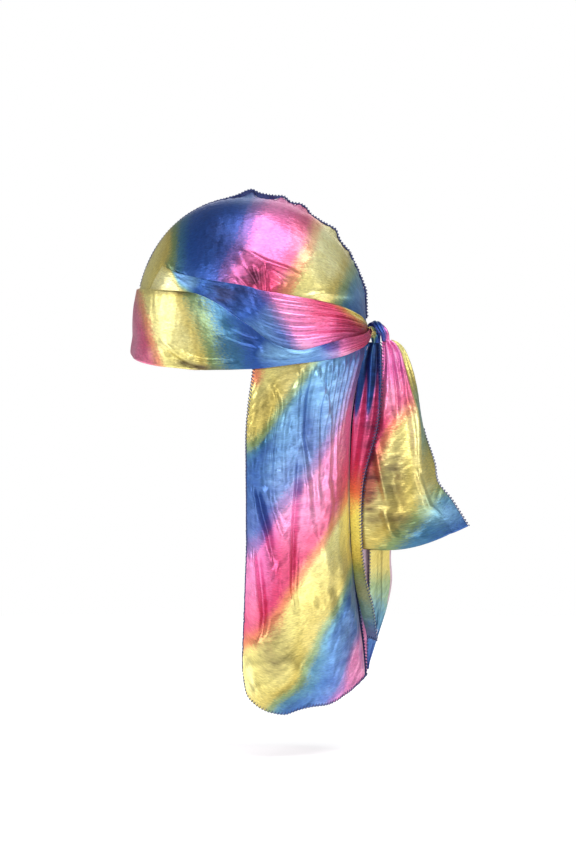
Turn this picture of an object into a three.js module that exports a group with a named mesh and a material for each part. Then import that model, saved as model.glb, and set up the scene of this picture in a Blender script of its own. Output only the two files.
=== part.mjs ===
import * as THREE from 'three';

const { clamp, degToRad, lerp, radToDeg, smoothstep } = THREE.MathUtils;

// Driving sizes in millimetres. +Z is up, the wearer faces -Y and the wearer's left is +X.
// The origin is the centre of the head opening, level with the lowest part of the brow hem.

// Head that the cap is drawn over, measured on the outside of the crown cloth
const headLength = 196;
const headWidth = 152;
const crownRise = 105.7;
const widestLevel = 38;
const rearWidening = 0.06;
const sideRoundness = 2.2;
const browRoundness = 2.3;
const napeRoundness = 2;

// Cloth and seams
const clothWall = 1.2;
const layerGap = 0.8;
const panelGap = 0.4;
const hemGap = 0.8;
const seamWall = 1.2;
const seamSeat = 0.3;
const crownSeamStand = 3.4;
const capeSeamStand = 2.5;
const capeSeamGap = 0.6;

// Brow band and temple straps
const browHeight = 64;
const strapRise = 85;
const wrapEndTurn = 172;
const bandCrownLap = 3;
const strapFrontTopTurn = 36;
const strapFrontLowTurn = 26;
const strapLap = 10;
const strapRearLap = 5;
const strapPleatLift = 2.5;
const strapPleats = 4.5;
const hemFlare = 2.5;
const hemFlareHeight = 16;

// Ruffle beside the crown seam
const ruffleLift = 3;
const ruffleReach = 15;

// Knot at the nape
const knotSeat = 0.5;
const tailSeat = 0.9;
const knotDepth = 18;
const knotRise = 8;
const coreRadius = 3.7;
const loopRadius = 3.4;

// Tie ends
const flareLength = 178;
const flareWidth = 91;
const flareDepth = 20;
const flareInset = 4.3;
const flareBow = 3;
const foldedLength = 277.5;
const foldedWidth = 35;
const foldedDepth = 12;
const foldedBow = 1.5;

// Cape
const capeLength = 292;
const capeEdgeTurn = 92;
const capeFoldLift = 5;
const capeNarrowing = 0.13;

// Steps of the faceted sheets
const crownColumns = 36;
const crownDomeRows = 8;
const crownWallRows = 3;
const bandColumns = 42;
const bandRows = 4;
const strapColumns = 18;
const strapRows = 11;
const capeColumns = 20;
const capeRows = 14;
const tailRows = 12;
const tailNearColumns = 6;
const tailFarColumns = 6;
const bundleSides = 10;
const bundleSteps = 10;

const halfLength = headLength / 2;
const fullTurn = 360;
const halfTurn = 180;

// Brow band: turn from the front of the head in degrees, edges as shares of browHeight
const bandRowsTable = [
  { turn: 0, top: 0.996, hem: 0.172 },
  { turn: 20, top: 1.009, hem: 0.094 },
  { turn: 30, top: 1.017, hem: 0.055 },
  { turn: 42, top: 1.013, hem: 0.023 },
  { turn: 54, top: 1.005, hem: 0.005 },
  { turn: 66, top: 0.972, hem: -0.017 },
  { turn: 77, top: 0.844, hem: -0.011 },
  { turn: 86, top: 0.659, hem: -0.005 },
  { turn: 95.5, top: 0.436, hem: 0.01 },
  { turn: 105, top: 0.289, hem: 0.042 },
  { turn: 115, top: 0.245, hem: 0.073 },
  { turn: 127, top: 0.311, hem: 0.105 },
  { turn: 141, top: 0.384, hem: 0.159 },
  { turn: 151, top: 0.409, hem: 0.216 },
  { turn: 161, top: 0.433, hem: 0.269 },
  { turn: 172, top: 0.484, hem: 0.344 },
];

// Temple strap: its upper edge as shares of strapRise
const strapRowsTable = [
  { turn: 26, top: 1.03 },
  { turn: 36, top: 1.005 },
  { turn: 51.5, top: 0.934 },
  { turn: 65, top: 0.891 },
  { turn: 76, top: 0.859 },
  { turn: 86.5, top: 0.826 },
  { turn: 94.6, top: 0.776 },
  { turn: 105, top: 0.741 },
  { turn: 115.7, top: 0.704 },
  { turn: 127.4, top: 0.664 },
  { turn: 141, top: 0.605 },
  { turn: 154.7, top: 0.527 },
  { turn: 165, top: 0.459 },
  { turn: 172, top: 0.412 },
];

// Ruffle along the crown seam: lift as shares of ruffleLift, height of the seam allowance
// as shares of crownSeamStand, by the angle over the head from front to back
const ruffleRows = [
  { over: 15, lift: 0, stand: 0.35 },
  { over: 45, lift: 0, stand: 0.45 },
  { over: 65, lift: 0, stand: 0.8 },
  { over: 80, lift: 0.33, stand: 1.1 },
  { over: 90, lift: 0.67, stand: 1.3 },
  { over: 100, lift: -0.17, stand: 1.2 },
  { over: 105, lift: 0.5, stand: 1 },
  { over: 110, lift: -0.33, stand: 0.8 },
  { over: 115, lift: 0.67, stand: 0.8 },
  { over: 125, lift: -0.5, stand: 1 },
  { over: 135, lift: 1, stand: 0.8 },
  { over: 140, lift: -0.33, stand: 1 },
  { over: 150, lift: 0.33, stand: 0.9 },
  { over: 155, lift: -0.17, stand: 1 },
  { over: 165, lift: 0.5, stand: 1 },
  { over: 175, lift: 0.33, stand: 0.8 },
];

// Knot bundles: across as shares of the half gap between the strap ends, out as shares of
// knotDepth behind the nape and up as shares of knotRise over the middle of the strap ends
const corePath = [
  { across: 1, out: 0.19, up: 0.06 },
  { across: 0.55, out: 0.27, up: -0.06 },
  { across: 0.3, out: 0.4, up: -0.44 },
  { across: 0.31, out: 0.42, up: -1 },
];
const loopPath = [
  { across: -1, out: 0.17, up: 0.15 },
  { across: -0.55, out: 0.27, up: 0.5 },
  { across: 0, out: 0.44, up: 0.66 },
  { across: 0.47, out: 0.68, up: 0.37 },
  { across: 0.65, out: 0.94, up: -0.2 },
  { across: 0.66, out: 0.96, up: -0.75 },
];

// Flared tail: its inner edge, fold and outer edge, as shares of flareWidth behind, flareLength
// down and flareDepth to the wearer's left of where it leaves the knot
const flareEdge = [
  { behind: 0.004, down: 0, left: 0 },
  { behind: 0.004, down: 0.052, left: 0 },
  { behind: 0.004, down: 0.147, left: 0 },
  { behind: -0.005, down: 0.253, left: 0 },
  { behind: -0.024, down: 0.362, left: 0 },
  { behind: -0.071, down: 0.482, left: 0 },
  { behind: -0.146, down: 0.601, left: 0 },
  { behind: -0.174, down: 0.721, left: 0 },
  { behind: -0.192, down: 0.84, left: 0 },
  { behind: -0.192, down: 0.997, left: 0 },
];
const flareFold = [
  { behind: 0.088, down: 0, left: 0.075 },
  { behind: 0.172, down: 0.052, left: 0.12 },
  { behind: 0.223, down: 0.138, left: 0.17 },
  { behind: 0.284, down: 0.243, left: 0.22 },
  { behind: 0.345, down: 0.348, left: 0.28 },
  { behind: 0.368, down: 0.482, left: 0.34 },
  { behind: 0.368, down: 0.606, left: 0.4 },
  { behind: 0.396, down: 0.721, left: 0.46 },
  { behind: 0.49, down: 0.811, left: 0.52 },
  { behind: 0.658, down: 0.921, left: 0.575 },
];
const flareOuter = [
  { behind: 0.097, down: 0, left: -0.22 },
  { behind: 0.2, down: 0.043, left: -0.28 },
  { behind: 0.275, down: 0.129, left: -0.35 },
  { behind: 0.326, down: 0.234, left: -0.4 },
  { behind: 0.359, down: 0.338, left: -0.42 },
  { behind: 0.415, down: 0.467, left: -0.4 },
  { behind: 0.49, down: 0.587, left: -0.33 },
  { behind: 0.527, down: 0.682, left: -0.2 },
  { behind: 0.658, down: 0.768, left: 0 },
  { behind: 0.807, down: 0.888, left: 0.175 },
];

// Folded tail: its free flap, fold and back panel, as shares of foldedWidth behind,
// foldedLength down and foldedDepth to the wearer's left of where it leaves the knot
const foldedFlap = [
  { behind: 0.119, down: 0, left: 0.167 },
  { behind: 0.143, down: 0.057, left: 0.5 },
  { behind: 0.131, down: 0.149, left: 0.75 },
  { behind: 0.021, down: 0.271, left: 0.83 },
  { behind: -0.294, down: 0.424, left: 0.83 },
  { behind: -0.343, down: 0.577, left: 0.92 },
  { behind: -0.246, down: 0.706, left: 1 },
  { behind: -0.051, down: 0.81, left: 1 },
  { behind: 0.046, down: 0.911, left: 1 },
];
const foldedFold = [
  { behind: -0.1, down: 0, left: 0 },
  { behind: -0.257, down: 0.057, left: 0.08 },
  { behind: -0.38, down: 0.149, left: 0.17 },
  { behind: -0.5, down: 0.271, left: 0.25 },
  { behind: -0.549, down: 0.424, left: 0.33 },
  { behind: -0.549, down: 0.577, left: 0.33 },
  { behind: -0.477, down: 0.706, left: 0.33 },
  { behind: -0.343, down: 0.81, left: 0.33 },
  { behind: -0.209, down: 0.902, left: 0.25 },
];
const foldedBack = [
  { behind: 0.094, down: 0, left: -0.167 },
  { behind: 0.167, down: 0.057, left: -0.33 },
  { behind: 0.24, down: 0.149, left: -0.5 },
  { behind: 0.313, down: 0.271, left: -0.5 },
  { behind: 0.361, down: 0.409, left: -0.5 },
  { behind: 0.41, down: 0.547, left: -0.5 },
  { behind: 0.41, down: 0.657, left: -0.5 },
  { behind: 0.386, down: 0.768, left: -0.42 },
  { behind: -0.186, down: 1, left: 0.17 },
];

// Cape: bottom edge by the share of the way from the side edge to the middle seam
const capeBottomRows = [
  { across: 0, down: 0.87 },
  { across: 0.026, down: 0.94 },
  { across: 0.062, down: 0.966 },
  { across: 0.103, down: 0.983 },
  { across: 0.145, down: 0.993 },
  { across: 0.226, down: 1 },
  { across: 0.281, down: 0.991 },
  { across: 0.369, down: 0.98 },
  { across: 0.503, down: 0.973 },
  { across: 0.624, down: 0.949 },
  { across: 0.747, down: 0.927 },
  { across: 0.92, down: 0.907 },
  { across: 1, down: 0.906 },
];

// Cape: side edge and middle seam as shares of half the head length behind its middle
const capeLevelRows = [
  { down: -0.084, edge: 0.03, seam: 0.994 },
  { down: -0.034, edge: 0.02, seam: 0.98 },
  { down: 0.02, edge: 0.015, seam: 0.939 },
  { down: 0.1, edge: -0.02, seam: 0.888 },
  { down: 0.19, edge: -0.039, seam: 0.86 },
  { down: 0.39, edge: -0.035, seam: 0.852 },
  { down: 0.51, edge: -0.037, seam: 0.857 },
  { down: 0.65, edge: -0.049, seam: 0.898 },
  { down: 0.74, edge: -0.061, seam: 0.935 },
  { down: 0.82, edge: -0.07, seam: 0.967 },
  { down: 0.91, edge: -0.078, seam: 0.988 },
  { down: 1, edge: -0.082, seam: 0.998 },
];

// Folds of each cape half: where they run across at their two ends, from which share of the
// length to which, their width across and their lift as shares of capeFoldLift
const gatherFolds = [
  { from: 0.33, to: 0.37, start: 0.01, end: 0.35, width: 0.04, lift: 0.5 },
  { from: 0.43, to: 0.45, start: 0.01, end: 0.4, width: 0.035, lift: 0.5 },
  { from: 0.53, to: 0.54, start: 0.01, end: 0.3, width: 0.035, lift: 0.5 },
  { from: 0.63, to: 0.62, start: 0.01, end: 0.4, width: 0.035, lift: 0.5 },
  { from: 0.73, to: 0.7, start: 0.01, end: 0.3, width: 0.035, lift: 0.4 },
];
const leftCapeFolds = [
  ...gatherFolds,
  { from: 0.05, to: 0.05, start: 0.02, end: 0.95, width: 0.045, lift: 0.6 },
  { from: 0.19, to: 0.11, start: 0.01, end: 0.5, width: 0.045, lift: 0.8 },
  { from: 0.06, to: 0.26, start: 0.3, end: 0.75, width: 0.06, lift: -0.9 },
  { from: 0.3, to: 0.27, start: 0.3, end: 0.7, width: 0.06, lift: 0.6 },
];
const rightCapeFolds = [
  ...gatherFolds,
  { from: 0.06, to: 0.06, start: 0.02, end: 0.95, width: 0.05, lift: 0.6 },
  { from: 0.22, to: 0.16, start: 0.05, end: 0.8, width: 0.06, lift: -0.8 },
  { from: 0.86, to: 0.86, start: 0.55, end: 1.05, width: 0.08, lift: 1.5 },
];

// Value of one column of a table at a place along its key column, as a smooth curve
function along(table, key, column, place) {
  const last = table.length - 1;
  const held = clamp(place, table[0][key], table[last][key]);
  let index = 0;
  while (index < last - 1 && held > table[index + 1][key]) {
    index += 1;
  }
  const slopeAt = (row) => {
    const before = table[Math.max(0, row - 1)];
    const after = table[Math.min(last, row + 1)];
    return (after[column] - before[column]) / (after[key] - before[key]);
  };
  const span = table[index + 1][key] - table[index][key];
  const part = (held - table[index][key]) / span;
  const square = part ** 2;
  const cube = part ** 3;
  return (2 * cube - 3 * square + 1) * table[index][column]
    + (cube - 2 * square + part) * span * slopeAt(index)
    + (3 * square - 2 * cube) * table[index + 1][column]
    + (cube - square) * span * slopeAt(index + 1);
}

// Value of one column of an evenly spaced table, by the share of the way down its rows
function downTable(table, column, share) {
  const numbered = table.map((row, index) => ({ at: index / (table.length - 1), value: row[column] }));
  return along(numbered, 'at', 'value', share);
}

// Half width of the head at a place from front to back
function halfWidthAt(y) {
  return (headWidth / 2) * (1 + (rearWidening * y) / halfLength);
}

// Direction away from the head at a point on it
function headNormal(point) {
  const halfWidth = halfWidthAt(point.y);
  const roundness = point.y < 0 ? browRoundness : napeRoundness;
  const side = Math.abs(point.x) / halfWidth;
  const reach = Math.abs(point.y) / halfLength;
  const rise = Math.max(0, (point.z - widestLevel) / crownRise);
  return new THREE.Vector3(
    (Math.sign(point.x) * sideRoundness * side ** (sideRoundness - 1)) / halfWidth,
    (Math.sign(point.y) * roundness * reach ** (roundness - 1)) / halfLength,
    (2 * rise) / crownRise,
  ).normalize();
}

// Point of the head by turn from the front, height and lift off the crown's outer face
function headPoint(turn, height, lift) {
  const rise = Math.max(0, (height - widestLevel) / crownRise);
  const spread = 1 - rise ** 2;
  const forward = Math.cos(degToRad(turn));
  const sideways = Math.sin(degToRad(turn));
  const roundness = forward > 0 ? browRoundness : napeRoundness;
  const y = -Math.sign(forward) * halfLength * (spread * forward ** 2) ** (1 / roundness);
  const x = Math.sign(sideways) * halfWidthAt(y) * (spread * sideways ** 2) ** (1 / sideRoundness);
  const point = new THREE.Vector3(x, y, height);
  return point.addScaledVector(headNormal(point), lift);
}

const bandTop = (turn) => browHeight * along(bandRowsTable, 'turn', 'top', Math.abs(turn));
const bandHem = (turn) => browHeight * along(bandRowsTable, 'turn', 'hem', Math.abs(turn));
const strapTop = (turn) => strapRise * along(strapRowsTable, 'turn', 'top', turn);
const crownHem = (turn) => bandHem(turn) + bandCrownLap;

// Closed geometry from faces of three or four corners, turned so that they point out
function closedGeometry(faces) {
  const triangles = [];
  for (const face of faces) {
    for (let corner = 1; corner < face.length - 1; corner += 1) {
      const triangle = [face[0], face[corner], face[corner + 1]];
      const apart = triangle.every((point, index) => !point.equals(triangle[(index + 1) % 3]));
      if (apart) {
        triangles.push(triangle);
      }
    }
  }
  const volume = triangles.reduce((sum, [a, b, c]) => sum + a.dot(b.clone().cross(c)), 0);
  const outward = volume > 0 ? triangles : triangles.map(([a, b, c]) => [a, c, b]);
  const geometry = new THREE.BufferGeometry();
  const positions = outward.flat().flatMap((point) => point.toArray());
  geometry.setAttribute('position', new THREE.Float32BufferAttribute(positions, 3));
  geometry.computeVertexNormals();
  return geometry;
}

// Closed sheet between an inner grid and an outer grid of points
function sheetBetween(inner, outer) {
  const columns = inner.length - 1;
  const rows = inner[0].length - 1;
  const faces = [];
  for (let i = 0; i < columns; i += 1) {
    for (let j = 0; j < rows; j += 1) {
      faces.push([outer[i][j], outer[i + 1][j], outer[i + 1][j + 1], outer[i][j + 1]]);
      faces.push([inner[i][j + 1], inner[i + 1][j + 1], inner[i + 1][j], inner[i][j]]);
    }
    faces.push([inner[i][0], inner[i + 1][0], outer[i + 1][0], outer[i][0]]);
    faces.push([outer[i][rows], outer[i + 1][rows], inner[i + 1][rows], inner[i][rows]]);
  }
  for (let j = 0; j < rows; j += 1) {
    faces.push([outer[0][j], outer[0][j + 1], inner[0][j + 1], inner[0][j]]);
    faces.push([inner[columns][j], inner[columns][j + 1], outer[columns][j + 1], outer[columns][j]]);
  }
  return closedGeometry(faces);
}

// Grid of points from a function of the shares across and along
function gridOf(columns, rows, pointAt) {
  return Array.from({ length: columns + 1 }, (_, i) => (
    Array.from({ length: rows + 1 }, (__, j) => pointAt(i / columns, j / rows, i, j))
  ));
}

// Sheet on the head: a function gives turn, height and the lift of its inner face
function headSheet(columns, rows, placeAt) {
  const faceAt = (depth) => gridOf(columns, rows, (u, v) => {
    const { turn, height, lift } = placeAt(u, v);
    return headPoint(turn, height, lift + depth * clothWall);
  });
  return sheetBetween(faceAt(0), faceAt(1));
}

// Free-hanging sheet: the grid is its middle surface, and folds keep the full wall
function hangingSheet(grid) {
  const columns = grid.length - 1;
  const rows = grid[0].length - 1;
  const cellNormal = (i, j) => {
    const diagonal = grid[i + 1][j + 1].clone().sub(grid[i][j]);
    return diagonal.cross(grid[i][j + 1].clone().sub(grid[i + 1][j])).normalize();
  };
  const deepestMitre = 0.45;
  const offsetAt = (i, j) => {
    const around = [];
    for (const cellI of [i - 1, i]) {
      for (const cellJ of [j - 1, j]) {
        if (cellI >= 0 && cellI < columns && cellJ >= 0 && cellJ < rows) {
          around.push(cellNormal(cellI, cellJ));
        }
      }
    }
    const normal = around.reduce((sum, each) => sum.add(each), new THREE.Vector3()).normalize();
    const mitre = Math.max(deepestMitre, Math.min(...around.map((each) => each.dot(normal))));
    return normal.multiplyScalar(clothWall / 2 / mitre);
  };
  const offsets = grid.map((line, i) => line.map((_, j) => offsetAt(i, j)));
  const faceAt = (side) => grid.map((line, i) => (
    line.map((point, j) => point.clone().addScaledVector(offsets[i][j], side))
  ));
  return sheetBetween(faceAt(-1), faceAt(1));
}

// Lift of the ruffle beside the crown seam
function ruffleAt(over, x, height) {
  const beside = 1 - smoothstep(Math.abs(x), 0, ruffleReach);
  const aboveStraps = smoothstep(height, widestLevel, widestLevel + ruffleReach);
  return ruffleLift * along(ruffleRows, 'over', 'lift', over) * beside * aboveStraps;
}

// Point of a crown panel's outer face before any ruffle, by the share of the way from front
// to back, the share from the seam down to the widest level and the share below that level
function crownBase(side, overShare, domeShare, wallShare) {
  const y = -halfLength * Math.cos(Math.PI * overShare);
  const roundness = y < 0 ? browRoundness : napeRoundness;
  const reach = Math.min(1, Math.abs(y) / halfLength);
  const ring = 1 - reach ** roundness;
  const slope = (Math.PI / 2) * domeShare;
  const turn = radToDeg(Math.acos(clamp(-Math.sign(y) * reach ** (roundness / 2), -1, 1)));
  const dome = widestLevel + crownRise * Math.sqrt(ring) * Math.cos(slope);
  const height = domeShare < 1 ? dome : lerp(widestLevel, crownHem(turn), wallShare);
  const x = side * halfWidthAt(y) * (ring * Math.sin(slope) ** 2) ** (1 / sideRoundness);
  return new THREE.Vector3(x, y, height);
}

// One half of the cap, from the middle seam down to the hem
function crownPanel(side) {
  const rows = crownDomeRows + crownWallRows;
  const faceAt = (depth) => gridOf(crownColumns, rows, (u, v, i, j) => {
    const wallShare = Math.max(0, j - crownDomeRows) / crownWallRows;
    const base = crownBase(side, u, Math.min(1, j / crownDomeRows), wallShare);
    const lift = ruffleAt(halfTurn * u, base.x, base.z) - (1 - depth) * clothWall;
    const point = base.clone().addScaledVector(headNormal(base), lift);
    return point.setX(point.x + (side * panelGap) / 2);
  });
  return sheetBetween(faceAt(0), faceAt(1));
}

// Seam allowance that stands up along the middle of the crown
function crownSeam() {
  const skippedColumns = 3;
  const steps = crownColumns - skippedColumns - 1;
  const faceAt = (depth) => gridOf(steps, 1, (u, v) => {
    const share = lerp(skippedColumns, crownColumns - 1, u) / crownColumns;
    const over = halfTurn * share;
    const base = crownBase(1, share, 0, 0);
    const stand = crownSeamStand * along(ruffleRows, 'over', 'stand', over);
    const lift = ruffleAt(over, 0, base.z) + seamSeat + v * stand;
    const point = base.clone().addScaledVector(headNormal(base), lift);
    return point.setX((depth - 0.5) * seamWall);
  });
  return sheetBetween(faceAt(0), faceAt(1));
}

// Outer wrap that crosses the brow over the straps and runs back to the knot
function browBand() {
  const firstLayer = layerGap;
  const secondLayer = 2 * layerGap + clothWall;
  const strapHides = { from: 8, to: 24 };
  const frontFlare = { from: 60, to: 10 };
  return headSheet(bandColumns, bandRows, (u, v) => {
    const turn = lerp(-wrapEndTurn, wrapEndTurn, u);
    const height = lerp(bandHem(turn), bandTop(turn), v);
    const overStrap = smoothstep(Math.abs(turn), strapHides.from, strapHides.to);
    const nearHem = 1 - smoothstep(height - bandHem(turn), 0, hemFlareHeight);
    const atFront = 1 - smoothstep(Math.abs(turn), frontFlare.to, frontFlare.from);
    const lift = lerp(firstLayer, secondLayer, overStrap) + hemFlare * nearHem * atFront;
    return { turn, height, lift };
  });
}

// Upper wrap from the temple to the knot, pleated where it is pulled together
function templeStrap(side) {
  const pleatsStart = 0.4;
  const pleatsFull = 0.8;
  const clearOfBand = { from: 2, to: 7 };
  const clearOfTop = 0.94;
  const lapChange = { from: 60, to: 120 };
  return headSheet(strapColumns, strapRows, (u, v) => {
    const turn = lerp(lerp(strapFrontLowTurn, strapFrontTopTurn, v), wrapEndTurn, u);
    const lap = lerp(strapLap, strapRearLap, smoothstep(turn, lapChange.from, lapChange.to));
    const height = lerp(bandTop(turn) - lap, strapTop(turn), v);
    const overBand = smoothstep(height - bandTop(turn), clearOfBand.from, clearOfBand.to);
    const gathered = smoothstep(u, pleatsStart, pleatsFull) * (1 - smoothstep(u, pleatsFull, 1));
    const belowTop = 1 - smoothstep(v, clearOfTop, 1);
    const wave = 0.5 - 0.5 * Math.cos(2 * Math.PI * strapPleats * v);
    const lift = layerGap + strapPleatLift * wave * overBand * gathered * belowTop;
    return { turn: side * turn, height, lift };
  });
}

// Cape half from the side edge to the middle seam, hanging from the crown's hem
function capePoint(side, folds, across, down) {
  const turn = lerp(capeEdgeTurn, halfTurn, across);
  const top = crownHem(turn) - hemGap;
  const bottom = -capeLength * along(capeBottomRows, 'across', 'down', across);
  const height = lerp(top, bottom, down);
  const hung = -height / capeLength;
  const ring = headPoint(turn, 0, -clothWall / 2);
  const ringStart = headPoint(capeEdgeTurn, 0, -clothWall / 2);
  const ringEnd = headPoint(halfTurn, 0, -clothWall / 2);
  const behind = (ring.y - ringStart.y) / (ringEnd.y - ringStart.y);
  const edge = halfLength * along(capeLevelRows, 'down', 'edge', hung);
  const seam = halfLength * along(capeLevelRows, 'down', 'seam', hung);
  const narrow = 1 - capeNarrowing * smoothstep(down, 0, 1);
  const lift = folds.reduce((sum, fold) => sum + foldLift(fold, across, down), 0);
  const away = headNormal(headPoint(turn, 0, 0));
  const foldsStop = 0.9;
  const seamed = 1 - smoothstep(across, foldsStop, 1);
  return new THREE.Vector3(
    side * (capeSeamGap / 2 + ring.x * narrow + away.x * lift * seamed),
    lerp(edge, seam, behind) + away.y * lift * seamed,
    height,
  );
}

// Lift of one fold of the cape, eased out at both ends
function foldLift(fold, across, down) {
  const part = (down - fold.start) / (fold.end - fold.start);
  if (part <= 0 || part >= 1) {
    return 0;
  }
  const fullBy = 0.15;
  const fadesFrom = 0.5;
  const middle = lerp(fold.from, fold.to, part);
  const offset = (across - middle) / fold.width;
  const ends = smoothstep(part, 0, fullBy) * (1 - smoothstep(part, fadesFrom, 1));
  return capeFoldLift * fold.lift * Math.exp(-(offset ** 2)) * ends;
}

function capePanel(side, folds) {
  return hangingSheet(gridOf(capeColumns, capeRows, (u, v) => capePoint(side, folds, u, v)));
}

// Seam allowance down the middle of the cape
function capeSeam() {
  const faceAt = (depth) => gridOf(capeRows, 1, (u, v) => {
    const onCape = capePoint(1, [], 1, u);
    const y = onCape.y + clothWall / 2 + seamSeat + v * capeSeamStand;
    return new THREE.Vector3((depth - 0.5) * seamWall, y, onCape.z);
  });
  return sheetBetween(faceAt(0), faceAt(1));
}

// Knot: the strap ends stop at both sides of it, and the tie ends leave it below
const strapEnd = headPoint(wrapEndTurn, 0, 0);
const knotHalfGap = strapEnd.x - knotSeat;
const knotLevel = (strapTop(wrapEndTurn) + bandHem(wrapEndTurn)) / 2;
const knotCurve = (path) => new THREE.CatmullRomCurve3(path.map((row) => new THREE.Vector3(
  row.across * knotHalfGap,
  halfLength + row.out * knotDepth,
  knotLevel + row.up * knotRise,
)));
const coreCurve = knotCurve(corePath);
const loopCurve = knotCurve(loopPath);

// Round bundle of cloth along a curve, closed at both ends
function bundle(curve, radius) {
  const frames = curve.computeFrenetFrames(bundleSteps, false);
  const rings = Array.from({ length: bundleSteps + 1 }, (_, step) => {
    const centre = curve.getPointAt(step / bundleSteps);
    return Array.from({ length: bundleSides }, (__, side) => {
      const angle = degToRad((fullTurn * side) / bundleSides);
      return centre.clone()
        .addScaledVector(frames.normals[step], radius * Math.cos(angle))
        .addScaledVector(frames.binormals[step], radius * Math.sin(angle));
    });
  });
  const faces = [];
  for (let step = 0; step < bundleSteps; step += 1) {
    for (let side = 0; side < bundleSides; side += 1) {
      const next = (side + 1) % bundleSides;
      faces.push([rings[step][side], rings[step][next], rings[step + 1][next], rings[step + 1][side]]);
    }
  }
  faces.push([...rings[0]].reverse());
  faces.push(rings[bundleSteps]);
  return closedGeometry(faces);
}

// Point between two places of a tail, bowed out sideways in the middle
function bowed(from, to, share, bow) {
  const point = from.clone().lerp(to, share);
  return point.setX(point.x + bow * Math.sin(Math.PI * share));
}

// Tail made of two panels that meet at a fold
function tailSheet(nearAt, foldAt, farAt, nearBow, farBow) {
  const columns = tailNearColumns + tailFarColumns;
  return hangingSheet(gridOf(columns, tailRows, (_, v, i) => (
    i <= tailNearColumns
      ? bowed(nearAt(v), foldAt(v), i / tailNearColumns, nearBow * v)
      : bowed(foldAt(v), farAt(v), (i - tailNearColumns) / tailFarColumns, farBow * v)
  )));
}

// Line of a tail by the share of the way down, from a table of shares of its named sizes
function tailLine(start, size, table) {
  return (share) => start.clone().add(new THREE.Vector3(
    size.depth * downTable(table, 'left', share),
    size.width * downTable(table, 'behind', share),
    -size.length * downTable(table, 'down', share),
  ));
}

function flaredTail() {
  const start = loopCurve.getPointAt(1).sub(new THREE.Vector3(0, flareInset, tailSeat));
  const size = { width: flareWidth, length: flareLength, depth: flareDepth };
  const [edge, fold, outer] = [flareEdge, flareFold, flareOuter]
    .map((table) => tailLine(start, size, table));
  return tailSheet(edge, fold, outer, flareBow, 0);
}

function foldedTail() {
  const start = coreCurve.getPointAt(1).sub(new THREE.Vector3(0, 0, tailSeat));
  const size = { width: foldedWidth, length: foldedLength, depth: foldedDepth };
  const [flap, fold, back] = [foldedFlap, foldedFold, foldedBack]
    .map((table) => tailLine(start, size, table));
  return tailSheet(flap, fold, back, foldedBow, -foldedBow);
}

// Satin with a metallic face, and the darker thread of the seams
function satin(name, color, geometry) {
  const material = new THREE.MeshStandardMaterial({
    name: `${name} satin`, color, roughness: 0.34, metalness: 0.45, side: THREE.DoubleSide,
  });
  const mesh = new THREE.Mesh(geometry, material);
  mesh.name = name;
  return mesh;
}

function seamThread(name, color, geometry) {
  const material = new THREE.MeshStandardMaterial({
    name: `${name} thread`, color, roughness: 0.8, metalness: 0,
  });
  const mesh = new THREE.Mesh(geometry, material);
  mesh.name = name;
  return mesh;
}

const crown = new THREE.Group();
crown.add(satin('crown_panel_left', 0xf08cc6, crownPanel(1)));
crown.add(satin('crown_panel_right', 0x3a63a8, crownPanel(-1)));
crown.add(seamThread('crown_seam', 0x24356e, crownSeam()));

const wraps = new THREE.Group();
wraps.add(satin('brow_band', 0xe6d98c, browBand()));
wraps.add(satin('temple_strap_left', 0xd8547f, templeStrap(1)));
wraps.add(satin('temple_strap_right', 0x2b4f98, templeStrap(-1)));

const knot = new THREE.Group();
knot.add(satin('knot_core', 0x1d2f66, bundle(coreCurve, coreRadius)));
knot.add(satin('knot_loop', 0x6f93cc, bundle(loopCurve, loopRadius)));
knot.add(satin('flared_tail', 0xd0b95c, flaredTail()));
knot.add(satin('folded_tail', 0xa83a52, foldedTail()));

const cape = new THREE.Group();
cape.add(satin('cape_panel_left', 0x8fb4e0, capePanel(1, leftCapeFolds)));
cape.add(satin('cape_panel_right', 0xd79ab4, capePanel(-1, rightCapeFolds)));
cape.add(seamThread('cape_seam', 0x24356e, capeSeam()));

const durag = new THREE.Group();
durag.name = 'durag';
durag.add(crown, wraps, knot, cape);

export default durag;
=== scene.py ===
"""A tied durag of rainbow metallic satin, dressed for a studio picture.

Sizes in the classes below are millimetres, and Maker turns them into metres once, where a mesh is made.
The wearer faces -Y, and the wearer's left, which the camera sees, is +X.
"""

import logging
import math
from dataclasses import dataclass, field
from enum import Enum
from typing import NamedTuple, Optional, Sequence

import bmesh
import bpy
import numpy as np
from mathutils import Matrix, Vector


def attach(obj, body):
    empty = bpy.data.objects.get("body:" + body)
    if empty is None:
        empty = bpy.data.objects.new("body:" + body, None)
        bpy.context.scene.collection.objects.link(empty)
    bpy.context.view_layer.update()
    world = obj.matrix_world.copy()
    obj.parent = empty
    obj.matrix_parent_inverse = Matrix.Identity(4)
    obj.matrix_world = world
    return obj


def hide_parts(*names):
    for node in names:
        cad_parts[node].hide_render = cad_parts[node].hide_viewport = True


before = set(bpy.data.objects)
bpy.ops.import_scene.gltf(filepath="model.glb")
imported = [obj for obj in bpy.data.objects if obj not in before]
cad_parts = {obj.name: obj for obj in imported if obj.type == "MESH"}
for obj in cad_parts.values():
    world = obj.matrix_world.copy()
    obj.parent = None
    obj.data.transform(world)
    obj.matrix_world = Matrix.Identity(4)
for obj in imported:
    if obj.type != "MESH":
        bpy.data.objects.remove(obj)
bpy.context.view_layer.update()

LOG = logging.getLogger("durag")
MM = 0.001
ROOT = "root"
SHORTEST = 1e-9
TINY = 1e-6
HALF_WALL = 0.6
FOLD_TAPER = 0.3

Array = np.ndarray
Span = tuple[float, float]


class Side(Enum):
    """Which half of the durag a piece belongs to."""

    LEFT = 1
    RIGHT = -1


class Hold(Enum):
    """How a sheet of cloth is held."""

    STRETCHED = "stretched"
    HUNG = "hung"
    GATHERED = "gathered"
    FOLDED = "folded"


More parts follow.
